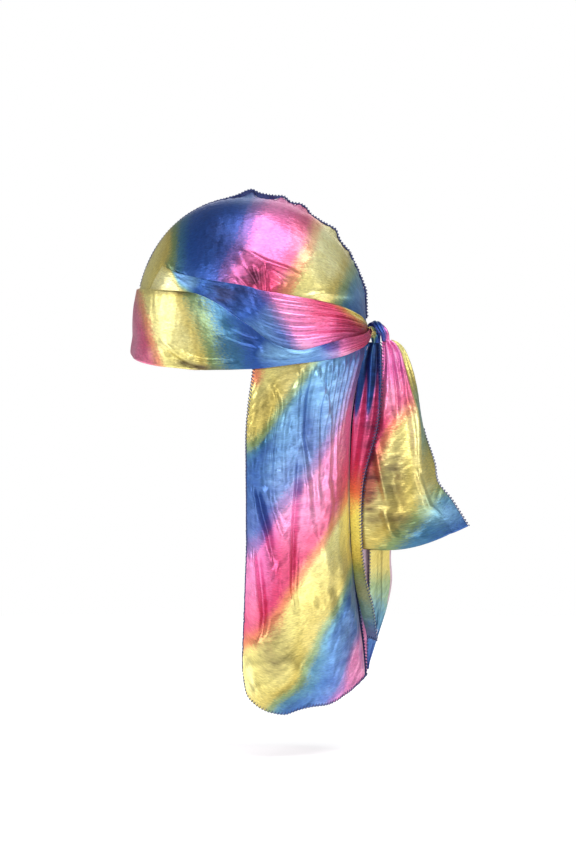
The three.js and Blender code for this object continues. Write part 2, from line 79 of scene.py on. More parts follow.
def ease(value: Array, low: float, high: float) -> Array:
    """Smooth step from 0 at low to 1 at high.

    Args:
        value: Where to look.
        low: Place where the step starts.
        high: Place where it ends.

    Returns:
        Values from 0 to 1.
    """
    part = np.clip((value - low) / (high - low), 0.0, 1.0)
    return part * part * (3 - 2 * part)


def mix(start: Array, end: Array, share: Array) -> Array:
    """Blend of two values by a share.

    Args:
        start: Value at share 0.
        end: Value at share 1.
        share: Share of the way.

    Returns:
        The blended value.
    """
    return start + (end - start) * share


def unit(vectors: Array) -> Array:
    """Vectors along the last axis, scaled to length 1."""
    length = np.linalg.norm(vectors, axis=-1, keepdims=True)
    return vectors / np.maximum(length, SHORTEST)


class Profile:
    """Smooth curve through a short table of places and values."""

    def __init__(self, places: Sequence[float], values: Sequence[float]) -> None:
        """Keeps the table and works out the slope at each row.

        Args:
            places: Rising places, one for each row.
            values: Value at each place.
        """
        self.places = np.asarray(places, float)
        self.values = np.asarray(values, float)
        rises = np.empty_like(self.values)
        rises[1:-1] = (self.values[2:] - self.values[:-2]) / (self.places[2:] - self.places[:-2])
        rises[0] = (self.values[1] - self.values[0]) / (self.places[1] - self.places[0])
        rises[-1] = (self.values[-1] - self.values[-2]) / (self.places[-1] - self.places[-2])
        self.rises = rises

    def __call__(self, place: Array) -> Array:
        """Value of the curve at one or many places.

        Args:
            place: Where to look; outside the table the end rows hold.

        Returns:
            Values of the same shape as place.
        """
        held = np.clip(place, self.places[0], self.places[-1])
        index = np.clip(np.searchsorted(self.places, held, side="right") - 1, 0, len(self.places) - 2)
        span = self.places[index + 1] - self.places[index]
        part = (held - self.places[index]) / span
        square = part**2
        cube = part**3
        return (
            (2 * cube - 3 * square + 1) * self.values[index]
            + (cube - 2 * square + part) * span * self.rises[index]
            + (3 * square - 2 * cube) * self.values[index + 1]
            + (cube - square) * span * self.rises[index + 1]
        )


def profile(rows: Sequence[NamedTuple], key: str, column: str) -> Profile:
    """Curve of one named column of a table.

    Args:
        rows: The table.
        key: Name of the column with the places.
        column: Name of the column with the values.

    Returns:
        The curve.
    """
    return Profile([getattr(row, key) for row in rows], [getattr(row, column) for row in rows])


class Dye(NamedTuple):
    """A row of a dye table: distance across the colour bands in mm, and the hue in turns of the dye."""

    at: float
    hue: float


class Fold(NamedTuple):
    """A ridge or crease along a line in the picture plane, in mm behind the head's middle and up."""

    path: tuple[tuple[float, float], ...]
    width: float
    lift: float
    skew: float = 0.0


def fold_lift(folds: Sequence[Fold], behind: Array, up: Array) -> Array:
    """Lift of a cloth surface by its folds.

    Args:
        folds: The folds.
        behind: Distance behind the head's middle, for each point.
        up: Height of each point.

    Returns:
        Lift of each point in mm.
    """
    total = np.zeros_like(behind)
    for fold in folds:
        nearest = np.full_like(behind, np.inf)
        signed = np.zeros_like(behind)
        along = np.zeros_like(behind)
        path = np.asarray(fold.path, float)
        lengths = np.linalg.norm(np.diff(path, axis=0), axis=1)
        starts = np.concatenate([[0.0], np.cumsum(lengths)])
        for step, length in enumerate(lengths):
            direction = (path[step + 1] - path[step]) / length
            offset_y = behind - path[step, 0]
            offset_z = up - path[step, 1]
            part = np.clip(offset_y * direction[0] + offset_z * direction[1], 0, length)
            away_y = offset_y - part * direction[0]
            away_z = offset_z - part * direction[1]
            distance = np.hypot(away_y, away_z)
            closer = distance < nearest
            side = offset_y * direction[1] - offset_z * direction[0]
            nearest = np.where(closer, distance, nearest)
            signed = np.where(closer, np.sign(side) * distance, signed)
            along = np.where(closer, (starts[step] + part) / starts[-1], along)
        ends = ease(along, 0.0, FOLD_TAPER) * (1 - ease(along, 1 - FOLD_TAPER, 1.0))
        shape = np.exp(-((signed / fold.width) ** 2)) * (1 + fold.skew * np.tanh(signed / fold.width))
        total += fold.lift * shape * ends
    return total


class Patch(NamedTuple):
    """A soft place on a sheet, in mm behind the middle and up: a painted highlight where its amount is above
    zero, painted shade where it is below, and in a shift table a shift of the dye's hue.
    """

    behind: float
    up: float
    long: float
    high: float
    amount: float


def patched(patches: Sequence[Patch], base: float, behind: Array, up: Array) -> Array:
    """A value over a sheet: the dye's paleness with painted highlights and painted shade, or a shift of the
    dye's hue.

    Args:
        patches: The patches.
        base: Value everywhere else.
        behind: Distance behind the head's middle, for each point.
        up: Height of each point.

    Returns:
        Value of each point.
    """
    total = np.full_like(behind, base)
    for patch in patches:
        away = ((behind - patch.behind) / patch.long) ** 2 + ((up - patch.up) / patch.high) ** 2
        total += patch.amount * np.exp(-away)
    return total


@dataclass(frozen=True)
class Ripple:
    """Fine unevenness of pulled satin: a sum of waves with seeded directions."""

    seed: int
    shortest: float
    longest: float
    lift: float
    lean: float = 0.0
    spread: float = math.pi
    waves: int = 26

    def __call__(self, across: Array, along: Array) -> Array:
        """Lift at places on the cloth.

        Args:
            across: Distance across the cloth in mm.
            along: Distance along it in mm.

        Returns:
            Lift in mm.
        """
        chance = np.random.default_rng(self.seed)
        total = np.zeros_like(across, dtype=float)
        for _ in range(self.waves):
            length = self.shortest * (self.longest / self.shortest) ** chance.random()
            angle = self.lean + self.spread * (chance.random() - 0.5)
            phase = 2 * math.pi * chance.random()
            turn = 2 * math.pi / length
            run = across * math.cos(angle) + along * math.sin(angle)
            total += (length / self.longest) * np.sin(turn * run + phase)
        return self.lift * total / math.sqrt(self.waves)

    def over(self, run: Array) -> Array:
        """Lift all over a sheet.

        Args:
            run: Distances across and along the sheet in mm.

        Returns:
            Lift in mm.
        """
        return self(run[..., 0], run[..., 1])


@dataclass(frozen=True)
class Head:
    """Outer form of the crown cloth, on which the sheets are laid in layers."""

    half_length: float = 98.0
    half_width: float = 76.0
    rise: float = 105.7
    widest: float = 38.0
    rear_widening: float = 0.06
    side_roundness: float = 2.2
    brow_roundness: float = 2.3
    nape_roundness: float = 2.0

    def width_at(self, y: Array) -> Array:
        """Half width of the head at a place from front to back."""
        return self.half_width * (1 + self.rear_widening * y / self.half_length)

    def roundness_at(self, y: Array) -> Array:
        """Exponent of the outline in front of and behind the middle."""
        return np.where(y < 0, self.brow_roundness, self.nape_roundness)

    def normal(self, points: Array) -> Array:
        """Directions away from the head.

        Args:
            points: Points on the head.

        Returns:
            Unit vectors.
        """
        x, y, z = points[..., 0], points[..., 1], points[..., 2]
        width = self.width_at(y)
        roundness = self.roundness_at(y)
        side = np.abs(x) / width
        reach = np.maximum(np.abs(y) / self.half_length, TINY)
        climb = np.maximum(0, (z - self.widest) / self.rise)
        return unit(np.stack([
            np.sign(x) * self.side_roundness * side ** (self.side_roundness - 1) / width,
            np.sign(y) * roundness * reach ** (roundness - 1) / self.half_length,
            2 * climb / self.rise,
        ], axis=-1))

    def point(self, turn: Array, height: Array, lift: Array) -> Array:
        """Points by turn from the front, height and lift off the crown.

        Args:
            turn: Turn from the front in degrees, positive to the wearer's left.
            height: Height in mm.
            lift: Distance off the crown's outer face in mm.

        Returns:
            Points in mm.
        """
        turn, height, lift = np.broadcast_arrays(turn, height, lift)
        climb = np.maximum(0, (height - self.widest) / self.rise)
        ring = 1 - climb**2
        forward = np.cos(np.radians(turn))
        sideways = np.sin(np.radians(turn))
        roundness = np.where(forward > 0, self.brow_roundness, self.nape_roundness)
        y = -np.sign(forward) * self.half_length * (ring * forward**2) ** (1 / roundness)
        x = np.sign(sideways) * self.width_at(y) * (ring * sideways**2) ** (1 / self.side_roundness)
        base = np.stack([x, y, np.asarray(height, float)], axis=-1)
        return base + self.normal(base) * lift[..., None]


HEAD = Head()


class BandRow(NamedTuple):
    """Edges of the brow band by the turn from the front, as shares of the brow height."""

    turn: float
    top: float
    hem: float


BAND_ROWS = (
    BandRow(0, 0.996, 0.172),
    BandRow(20, 1.009, 0.094),
    BandRow(30, 1.017, 0.055),
    BandRow(42, 1.013, 0.023),
    BandRow(54, 1.005, 0.005),
    BandRow(66, 0.972, -0.017),
    BandRow(77, 0.844, -0.011),
    BandRow(86, 0.659, -0.005),
    BandRow(95.5, 0.436, 0.01),
    BandRow(105, 0.289, 0.042),
    BandRow(115, 0.245, 0.073),
    BandRow(127, 0.311, 0.105),
    BandRow(141, 0.384, 0.159),
    BandRow(151, 0.409, 0.216),
    BandRow(161, 0.433, 0.269),
    BandRow(172, 0.484, 0.344),
)


class StrapRow(NamedTuple):
    """Upper edge of a temple strap by the turn from the front, as a share of the strap's rise."""

    turn: float
    top: float


STRAP_ROWS = (
    StrapRow(26, 1.03),
    StrapRow(36, 1.005),
    StrapRow(51.5, 0.934),
    StrapRow(65, 0.891),
    StrapRow(76, 0.859),
    StrapRow(86.5, 0.826),
    StrapRow(94.6, 0.776),
    StrapRow(105, 0.741),
    StrapRow(115.7, 0.704),
    StrapRow(127.4, 0.664),
    StrapRow(141, 0.605),
    StrapRow(154.7, 0.527),
    StrapRow(165, 0.459),
    StrapRow(172, 0.412),
)


@dataclass(frozen=True)
class Wraps:
    """Edges that the band, the straps and the crown's hem share."""

    brow_height: float = 64.0
    strap_rise: float = 85.0
    crown_lap: float = 3.0
    hem_gap: float = 0.8
    end_turn: float = 172.0

    def band_top(self, turn: Array) -> Array:
        """Height of the band's upper edge."""
        return self.brow_height * profile(BAND_ROWS, "turn", "top")(np.abs(turn))

    def band_hem(self, turn: Array) -> Array:
        """Height of the band's lower edge."""
        return self.brow_height * profile(BAND_ROWS, "turn", "hem")(np.abs(turn))

    def strap_top(self, turn: Array) -> Array:
        """Height of a strap's upper edge."""
        return self.strap_rise * profile(STRAP_ROWS, "turn", "top")(np.abs(turn))

    def crown_hem(self, turn: Array) -> Array:
        """Height of the crown's lower edge, hidden behind the band."""
        return self.band_hem(turn) + self.crown_lap


WRAPS = Wraps()


@dataclass
class Cloth:
    """A sheet of cloth as a grid, before it becomes a mesh."""

    points: Array
    dye: Array
    run: Array
    wall: float = 0.7
    normals: Optional[Array] = None
    # Paleness of the dye, with painted highlights above its base and painted shade below zero, one value a
    # point.
    fade: Optional[Array] = None

    def faces_normals(self) -> Array:
        """Unit normals of the grid, from its own slopes unless they are given.

        Returns:
            A unit vector at each point.
        """
        if self.normals is not None:
            return self.normals
        across = np.gradient(self.points, axis=0)
        along = np.gradient(self.points, axis=1)
        return unit(np.cross(across, along))

    def area(self) -> float:
        """Area of the middle surface in square mm.

        Returns:
            The area.
        """
        diagonal = self.points[1:, 1:] - self.points[:-1, :-1]
        other = self.points[:-1, 1:] - self.points[1:, :-1]
        return float(np.linalg.norm(np.cross(diagonal, other), axis=-1).sum() / 2)


class Maker:
    """Turns grids into Blender meshes; points nearer than weld are merged, and slivers dissolved."""

    WELD = 0.02
    SLIVER = 0.005

    @staticmethod
    def quads(columns: int, rows: int, first: int, flip: bool) -> Array:
        """Corner numbers of a grid's faces.

        Args:
            columns: Points across.
            rows: Points along.
            first: Number of the first point.
            flip: True for a face that looks the other way.

        Returns:
            An array of four numbers a face.
        """
        index = np.arange(columns * rows).reshape(columns, rows) + first
        corners = [index[:-1, :-1], index[1:, :-1], index[1:, 1:], index[:-1, 1:]]
        if flip:
            corners.reverse()
        return np.stack(corners, axis=-1).reshape(-1, 4)

    @staticmethod
    def rim(columns: int, rows: int) -> Array:
        """Corner numbers of the faces that join a sheet's two faces round its edge.

        Args:
            columns: Points across.
            rows: Points along.

        Returns:
            An array of four numbers a face.
        """
        index = np.arange(columns * rows).reshape(columns, rows)
        edge = np.concatenate([index[:, 0], index[-1, 1:], index[-2::-1, -1], index[0, -2::-1]])
        count = columns * rows
        start, end = edge[:-1], edge[1:]
        return np.stack([start + count, end + count, end, start], axis=-1)

    @staticmethod
    def mesh(name: str, points: Array, faces: Array) -> bpy.types.Object:
        """Object from points in mm and faces of four corners.

        Args:
            name: Name of the piece.
            points: Points in mm.
            faces: Corner numbers, four a face.

        Returns:
            The new object, linked to the scene.
        """
        data = bpy.data.meshes.new(name)
        data.vertices.add(len(points))
        data.vertices.foreach_set("co", (points * MM).astype(np.float32).ravel())
        data.loops.add(faces.size)
        data.loops.foreach_set("vertex_index", faces.astype(np.int32).ravel())
        data.polygons.add(len(faces))
        data.polygons.foreach_set("loop_start", np.arange(0, faces.size, 4, dtype=np.int32))
        data.polygons.foreach_set("use_smooth", np.ones(len(faces), bool))
        data.update(calc_edges=True)
        piece = bpy.data.objects.new(name, data)
        bpy.context.scene.collection.objects.link(piece)
        return piece

    @staticmethod
    def attribute(piece: bpy.types.Object, name: str, kind: str, values: Array) -> None:
        """Gives a mesh a named value at each point.

        Args:
            piece: The object.
            name: Name of the attribute.
            kind: FLOAT or FLOAT_VECTOR.
            values: One value or vector a point.
        """
        layer = piece.data.attributes.new(name, kind, "POINT")
        key = "vector" if kind == "FLOAT_VECTOR" else "value"
        layer.data.foreach_set(key, np.asarray(values, np.float32).ravel())

    @classmethod
    def sheet(cls, name: str, cloth: Cloth) -> bpy.types.Object:
        """Closed thin mesh of a cloth grid.

        Args:
            name: Name of the piece.
            cloth: The grid.

        Returns:
            The object, with the attributes dye, wrong_side, run and the dye's paleness with its painted
            highlights and painted shade.
        """
        columns, rows = cloth.points.shape[:2]
        count = columns * rows
        normals = cloth.faces_normals()
        outer = cloth.points + normals * cloth.wall / 2
        inner = cloth.points - normals * cloth.wall / 2
        points = np.concatenate([outer.reshape(-1, 3), inner.reshape(-1, 3)])
        faces = np.concatenate([
            cls.quads(columns, rows, 0, False),
            cls.quads(columns, rows, count, True),
            cls.rim(columns, rows),
        ])
        piece = cls.mesh(name, points, faces)
        run = np.concatenate([cloth.run, np.zeros((columns, rows, 1))], axis=-1).reshape(-1, 3)
        cls.attribute(piece, "dye", "FLOAT", np.tile(cloth.dye.ravel(), 2))
        cls.attribute(piece, "wrong_side", "FLOAT", np.repeat([0.0, 1.0], count))
        cls.attribute(piece, "run", "FLOAT_VECTOR", np.tile(run * MM, (2, 1)))
        # The dye's paleness with painted highlights and painted shade, the same on both faces.
        fade = np.zeros(count) if cloth.fade is None else cloth.fade.ravel()
        cls.attribute(piece, "fade", "FLOAT", np.tile(fade, 2))
        cls.weld(piece)
        return piece

    @classmethod
    def weld(cls, piece: bpy.types.Object) -> None:
        """Merges points that lie together and turns the faces outwards.

        Args:
            piece: The object.
        """
        work = bmesh.new()
        work.from_mesh(piece.data)
        bmesh.ops.remove_doubles(work, verts=work.verts, dist=cls.WELD * MM)
        bmesh.ops.dissolve_degenerate(work, edges=work.edges, dist=cls.SLIVER * MM)
        bmesh.ops.recalc_face_normals(work, faces=work.faces)
        work.to_mesh(piece.data)
        work.free()


def shares(count: int) -> Array:
    """Evenly spaced shares from 0 to 1."""
    return np.linspace(0.0, 1.0, count)


def grid_shares(columns: int, rows: int) -> tuple[Array, Array]:
    """Shares across and along a grid.

    Args:
        columns: Points across.
        rows: Points along.

    Returns:
        Two grids of shares from 0 to 1.
    """
    across, along = np.meshgrid(shares(columns), shares(rows), indexing="ij")
    return across, along


def run_of(points: Array) -> Array:
    """Distances across and along a grid, as the cloth lay flat.

    Args:
        points: Grid of points in mm.

    Returns:
        Two distances a point.
    """
    across = np.linalg.norm(np.diff(points, axis=0), axis=-1).mean(axis=1)
    along = np.linalg.norm(np.diff(points, axis=1), axis=-1).mean(axis=0)
    across = np.concatenate([[0.0], np.cumsum(across)])
    along = np.concatenate([[0.0], np.cumsum(along)])
    return np.stack(np.meshgrid(across, along, indexing="ij"), axis=-1)


class Stop(NamedTuple):
    """A full and a pale colour of the dye, out of 255, and their place in one turn of the hue; painted
    highlights mix the dye towards the pale colour.
    """

    at: float
    colour: tuple[float, float, float]
    pale: tuple[float, float, float]


def linear(colour: tuple[float, float, float]) -> tuple[float, float, float, float]:
    """Shader colour of a screen colour.

    Args:
        colour: Red, green and blue out of 255.

    Returns:
        Linear red, green, blue and an alpha of 1.
    """
    parts = [part / 255 for part in colour]
    red, green, blue = (part / 12.92 if part < 0.04 else ((part + 0.055) / 1.055) ** 2.4 for part in parts)
    return red, green, blue, 1.0


DYE_STOPS = (
    Stop(0.0, (36, 74, 146), (138, 190, 236)),
    Stop(0.09, (58, 80, 156), (160, 190, 236)),
    Stop(0.18, (124, 90, 158), (214, 184, 232)),
    Stop(0.27, (232, 120, 180), (255, 190, 226)),
    Stop(0.42, (204, 64, 106), (250, 148, 180)),
    Stop(0.53, (220, 130, 96), (252, 204, 160)),
    Stop(0.62, (236, 222, 136), (255, 250, 190)),
    Stop(0.73, (196, 176, 92), (238, 226, 156)),
    Stop(0.83, (112, 132, 86), (190, 214, 176)),
    Stop(0.92, (50, 98, 132), (150, 204, 222)),
)


class Grain(NamedTuple):
    """A noise over the flat cloth: grains a metre across and along, its detail and its turn in degrees."""

    across: float
    along: float
    detail: float
    lean: float = 0.0


class Relief(NamedTuple):
    """A layer of bumps: its noise, its depth in metres and how strongly it shows."""

    grain: Grain
    depth: float
    strength: float


BLOTCHES = Grain(34, 26, 2.0)
YARN = Grain(420, 1700, 3.0)
STREAKS = Grain(60, 150, 5.0, 14.0)
SHADES = Grain(300, 900, 3.0, 8.0)
GLOSS = Grain(240, 90, 3.0)
SATIN_RELIEF = (
    Relief(Grain(70, 150, 3.0, 16.0), 0.0006, 0.85),
    Relief(Grain(220, 800, 3.0, -10.0), 0.00018, 0.85),
    Relief(Grain(900, 2400, 2.0), 0.00005, 0.4),
)


@dataclass(frozen=True)
class DyedSatin:
    """Metallic satin with a soft repeating dye, painted highlights and painted shade, a crinkled face and a
    pale wrong side.
    """

    name: str = "dyed_satin"
    metallic: float = 0.72
    roughness: float = 0.34
    roughness_spread: float = 0.2
    sheen: float = 0.05
    sheen_roughness: float = 0.4
    coat: float = 0.08
    coat_roughness: float = 0.3
    blotch_spread: float = 0.09
    yarn_spread: float = 0.16
    # Streaks that break up the painted highlights and painted shade.
    streak_gain: float = 2.2
    streak_base: float = -0.1
    shade_gain: float = 0.9
    shade_base: float = 0.55
    # Colour that the dye is multiplied towards for painted shade.
    painted_shade_colour: tuple[float, float, float] = (112, 104, 128)
    wrong_colour: tuple[float, float, float] = (204, 176, 186)

    def material(self) -> bpy.types.Material:
        """Node material of the satin.

        Returns:
            The material, made once and shared by the sheets.
        """
        made = bpy.data.materials.new(self.name)
        made.use_nodes = True
        tree = made.node_tree
        shader = tree.nodes["Principled BSDF"]
        shader.inputs["Metallic"].default_value = self.metallic
        shader.inputs["Sheen Weight"].default_value = self.sheen
        shader.inputs["Sheen Roughness"].default_value = self.sheen_roughness
        shader.inputs["Coat Weight"].default_value = self.coat
        shader.inputs["Coat Roughness"].default_value = self.coat_roughness
        run = self.run(tree)
        tree.links.new(self.colour(tree, run), shader.inputs["Base Color"])
        tree.links.new(self.gloss(tree, run), shader.inputs["Roughness"])
        tree.links.new(self.relief(tree, run), shader.inputs["Normal"])
        return made

    @staticmethod
    def run(tree: bpy.types.NodeTree) -> bpy.types.NodeSocket:
        """Coordinates of the cloth as it lay flat.

        Args:
            tree: The node tree.

        Returns:
            The coordinates.
        """
        node = tree.nodes.new("ShaderNodeAttribute")
        node.attribute_name = "run"
        return node.outputs["Vector"]

    @staticmethod
    def value(tree: bpy.types.NodeTree, name: str) -> bpy.types.NodeSocket:
        """A named value of the mesh.

        Args:
            tree: The node tree.
            name: Name of the mesh attribute.

        Returns:
            The value.
        """
        node = tree.nodes.new("ShaderNodeAttribute")
        node.attribute_name = name
        return node.outputs["Fac"]

    @staticmethod
    def math(
        tree: bpy.types.NodeTree,
        operation: str,
        first: object,
        second: object = None,
        third: object = None,
    ) -> bpy.types.NodeSocket:
        """A math node on sockets or numbers.

        Args:
            tree: The node tree.
            operation: Name of the operation.
            first: Socket or number.
            second: Socket or number, if the operation has two.
            third: Socket or number, if it has three.

        Returns:
            The result.
        """
        node = tree.nodes.new("ShaderNodeMath")
        node.operation = operation
        for socket, given in zip(node.inputs, (first, second, third)):
            if isinstance(given, bpy.types.NodeSocket):
                tree.links.new(given, socket)
            elif given is not None:
                socket.default_value = given
        return node.outputs[0]

    @staticmethod
    def noise(
        tree: bpy.types.NodeTree, run: bpy.types.NodeSocket, grain: Grain
    ) -> bpy.types.NodeSocket:
        """Noise with its own grain size across and along the cloth.

        Args:
            tree: The node tree.
            run: Coordinates of the cloth.
            grain: Size, detail and turn of the grain.

        Returns:
            Noise from 0 to 1.
        """
        mapping = tree.nodes.new("ShaderNodeMapping")
        mapping.inputs["Rotation"].default_value[2] = math.radians(grain.lean)
        mapping.inputs["Scale"].default_value = (grain.across, grain.along, 1.0)
        tree.links.new(run, mapping.inputs["Vector"])
        node = tree.nodes.new("ShaderNodeTexNoise")
        node.inputs["Scale"].default_value = 1.0
        node.inputs["Detail"].default_value = grain.detail
        tree.links.new(mapping.outputs["Vector"], node.inputs["Vector"])
        return node.outputs["Fac"]

    def colour(self, tree: bpy.types.NodeTree, run: bpy.types.NodeSocket) -> bpy.types.NodeSocket:
        """Dye of the right side with painted highlights and painted shade, and the pale wrong side.

        Args:
            tree: The node tree.
            run: Coordinates of the cloth.

        Returns:
            The colour.
        """
        blotch = self.noise(tree, run, BLOTCHES)
        yarn = self.noise(tree, run, YARN)
        shift = self.math(tree, "MULTIPLY_ADD", blotch, self.blotch_spread, -self.blotch_spread / 2)
        fine = self.math(tree, "MULTIPLY_ADD", yarn, self.yarn_spread, -self.yarn_spread / 2)
        hue = self.math(tree, "ADD", self.math(tree, "ADD", self.value(tree, "dye"), shift), fine)
        place = self.math(tree, "FRACT", hue)
        full = self.ramp(tree, place, [stop.colour for stop in DYE_STOPS])
        # Pale colours of the dye, towards which the painted highlights are mixed.
        light = self.ramp(tree, place, [stop.pale for stop in DYE_STOPS])
        # Share of painted highlight (above zero) and painted shade (below zero) at each point, broken into
        # streaks.
        streaks = self.noise(tree, run, STREAKS)
        streak = self.math(tree, "MULTIPLY_ADD", streaks, self.streak_gain, self.streak_base)
        strength = self.math(tree, "MULTIPLY", self.value(tree, "fade"), streak)
        depth = self.math(tree, "MULTIPLY", strength, -1.0)
        # Painted shade: the dye multiplied towards a dark purple-grey.
        painted_shade = self.blend(tree, "MULTIPLY", depth, full, linear(self.painted_shade_colour))
        # Painted highlight: the shaded dye mixed towards its pale colour.
        pale = self.blend(tree, "MIX", strength, painted_shade, light)
        tone = tree.nodes.new("ShaderNodeHueSaturation")
        shades = self.noise(tree, run, SHADES)
        shade = self.math(tree, "MULTIPLY_ADD", shades, self.shade_gain, self.shade_base)
        tree.links.new(shade, tone.inputs["Value"])
        tree.links.new(pale, tone.inputs["Color"])
        return self.blend(
            tree, "MIX", self.value(tree, "wrong_side"), tone.outputs["Color"], linear(self.wrong_colour)
        )

    @staticmethod
    def ramp(
        tree: bpy.types.NodeTree, place: bpy.types.NodeSocket, colours: Sequence[tuple[float, float, float]]
    ) -> bpy.types.NodeSocket:
        """Colour ramp over one turn of the hue.

        Args:
            tree: The node tree.
            place: Place in the turn, from 0 to 1.
            colours: Colour at each of the dye's stops, out of 255.

        Returns:
            The colour.
        """
        node = tree.nodes.new("ShaderNodeValToRGB")
        node.color_ramp.interpolation = "EASE"
        elements = node.color_ramp.elements
        while len(elements) < len(DYE_STOPS) + 1:
            elements.new(0.5)
        places = [*(stop.at for stop in DYE_STOPS), 1.0]
        for element, at, colour in zip(elements, places, (*colours, colours[0])):
            element.position = at
            element.color = linear(colour)
        tree.links.new(place, node.inputs["Fac"])
        return node.outputs["Color"]

    @staticmethod
    def blend(
        tree: bpy.types.NodeTree, kind: str, share: bpy.types.NodeSocket, first: object, second: object
    ) -> bpy.types.NodeSocket:
        """A colour mix whose share is held between 0 and 1.

        Args:
            tree: The node tree.
            kind: Name of the blend.
            share: Share of the second colour.
            first: Socket or colour.
            second: Socket or colour.

        Returns:
            The mixed colour.
        """
        node = tree.nodes.new("ShaderNodeMix")
        node.data_type = "RGBA"
        node.blend_type = kind
        tree.links.new(share, node.inputs["Factor"])
        for name, given in (("A", first), ("B", second)):
            socket = next(one for one in node.inputs if one.name == name and one.type == "RGBA")
            if isinstance(given, bpy.types.NodeSocket):
                tree.links.new(given, socket)
            else:
                socket.default_value = given
        return next(one for one in node.outputs if one.type == "RGBA")

    def gloss(self, tree: bpy.types.NodeTree, run: bpy.types.NodeSocket) -> bpy.types.NodeSocket:
        """Roughness that varies a little over the cloth.

        Args:
            tree: The node tree.
            run: Coordinates of the cloth.

        Returns:
            The roughness.
        """
        spread = self.roughness_spread
        grain = self.noise(tree, run, GLOSS)
        return self.math(tree, "MULTIPLY_ADD", grain, spread, self.roughness - spread / 2)

    def relief(self, tree: bpy.types.NodeTree, run: bpy.types.NodeSocket) -> bpy.types.NodeSocket:
        """Crinkles of the foil face over a fine weave.

        Args:
            tree: The node tree.
            run: Coordinates of the cloth.

        Returns:
            The bumped normal.
        """
        normal = None
        for layer in SATIN_RELIEF:
            bump = tree.nodes.new("ShaderNodeBump")
            bump.inputs["Strength"].default_value = layer.strength
            bump.inputs["Distance"].default_value = layer.depth
            tree.links.new(self.noise(tree, run, layer.grain), bump.inputs["Height"])
            if normal is not None:
                tree.links.new(normal, bump.inputs["Normal"])
            normal = bump.outputs["Normal"]
        return normal


@dataclass(frozen=True)
class OverlockThread:
    """Matt navy thread of the overlocked edges."""

    name: str = "overlock_thread"
    colour: tuple[float, float, float] = (16, 25, 72)
    pale: tuple[float, float, float] = (38, 54, 116)
    roughness: float = 0.75
    sheen: float = 0.3
    fibre_grain: float = 900.0
    fibre_strength: float = 0.5
    fibre_depth: float = 0.0002

    def material(self) -> bpy.types.Material:
        """Node material of the thread.

        Returns:
            The material.
        """
        made = bpy.data.materials.new(self.name)
        made.use_nodes = True
        tree = made.node_tree
        shader = tree.nodes["Principled BSDF"]
        shader.inputs["Roughness"].default_value = self.roughness
        shader.inputs["Sheen Weight"].default_value = self.sheen
        place = tree.nodes.new("ShaderNodeTexCoord")
        noise = tree.nodes.new("ShaderNodeTexNoise")
        noise.inputs["Scale"].default_value = self.fibre_grain
        ramp = tree.nodes.new("ShaderNodeValToRGB")
        ramp.color_ramp.elements[0].color = linear(self.colour)
        ramp.color_ramp.elements[1].color = linear(self.pale)
        bump = tree.nodes.new("ShaderNodeBump")
        bump.inputs["Strength"].default_value = self.fibre_strength
        bump.inputs["Distance"].default_value = self.fibre_depth
        tree.links.new(place.outputs["Object"], noise.inputs["Vector"])
        tree.links.new(noise.outputs["Fac"], ramp.inputs["Fac"])
        tree.links.new(noise.outputs["Fac"], bump.inputs["Height"])
        tree.links.new(ramp.outputs["Color"], shader.inputs["Base Color"])
        tree.links.new(bump.outputs["Normal"], shader.inputs["Normal"])
        return made


@dataclass
class SatinPiece:
    """A sheet of satin that stands for one solid of the model."""

    node: str
    satin: bpy.types.Material
    hold: Hold
    rests_on: tuple[str, ...] = ()
    piece: Optional[bpy.types.Object] = field(default=None, init=False)

    def cloth(self) -> Cloth:
        """The sheet's grid; each kind of sheet has its own."""
        raise NotImplementedError

    def make(self) -> Cloth:
        """Returns:
            The grid, for what is sewn along its edges.
        """
        cloth = self.cloth()
        self.piece = Maker.sheet(f"{self.node}_satin", cloth)
        self.piece.data.materials.append(self.satin)
        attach(self.piece, ROOT)
        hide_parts(self.node)
        area = cloth.area() * MM * MM
        LOG.info("%s: %d points, %.4f square metres", self.piece.name, len(self.piece.data.vertices), area)
        return cloth


class RuffleRow(NamedTuple):
    """Ruffle along the crown seam: angle over the head, lift of the cloth and stand of the seam in mm."""

    over: float
    lift: float
    stand: float


RUFFLE_ROWS = (
    RuffleRow(15, -1.0, 1.0),
    RuffleRow(60, -1.6, 1.0),
    RuffleRow(74.4, -1.4, 1.1),
    RuffleRow(79.5, -1.2, 1.6),
    RuffleRow(84.5, -1.0, 3.3),
    RuffleRow(87.5, 0.8, 3.8),
    RuffleRow(90.5, 3.1, 2.8),
    RuffleRow(93.5, -0.9, 4.4),
    RuffleRow(96.5, -2.0, 4.6),
    RuffleRow(102, -0.3, 3.0),
    RuffleRow(106, 3.1, 1.1),
    RuffleRow(109.8, 0.5, 1.0),
    RuffleRow(115, 2.5, 1.0),
    RuffleRow(118, 1.7, 1.0),
    RuffleRow(121, -0.6, 1.0),
    RuffleRow(126.8, -0.4, 1.0),
    RuffleRow(130.6, 0.9, 1.0),
    RuffleRow(135, 3.1, 1.0),
    RuffleRow(138.2, 0.9, 1.0),
    RuffleRow(141.5, -0.2, 1.0),
    RuffleRow(147.3, 1.0, 1.1),
    RuffleRow(150.5, 0.2, 1.4),
    RuffleRow(156, 0.2, 1.5),
    RuffleRow(162.6, 0.9, 1.5),
    RuffleRow(166, 1.5, 1.5),
    RuffleRow(170.6, 0.4, 1.5),
    RuffleRow(178, -0.9, 1.4),
)


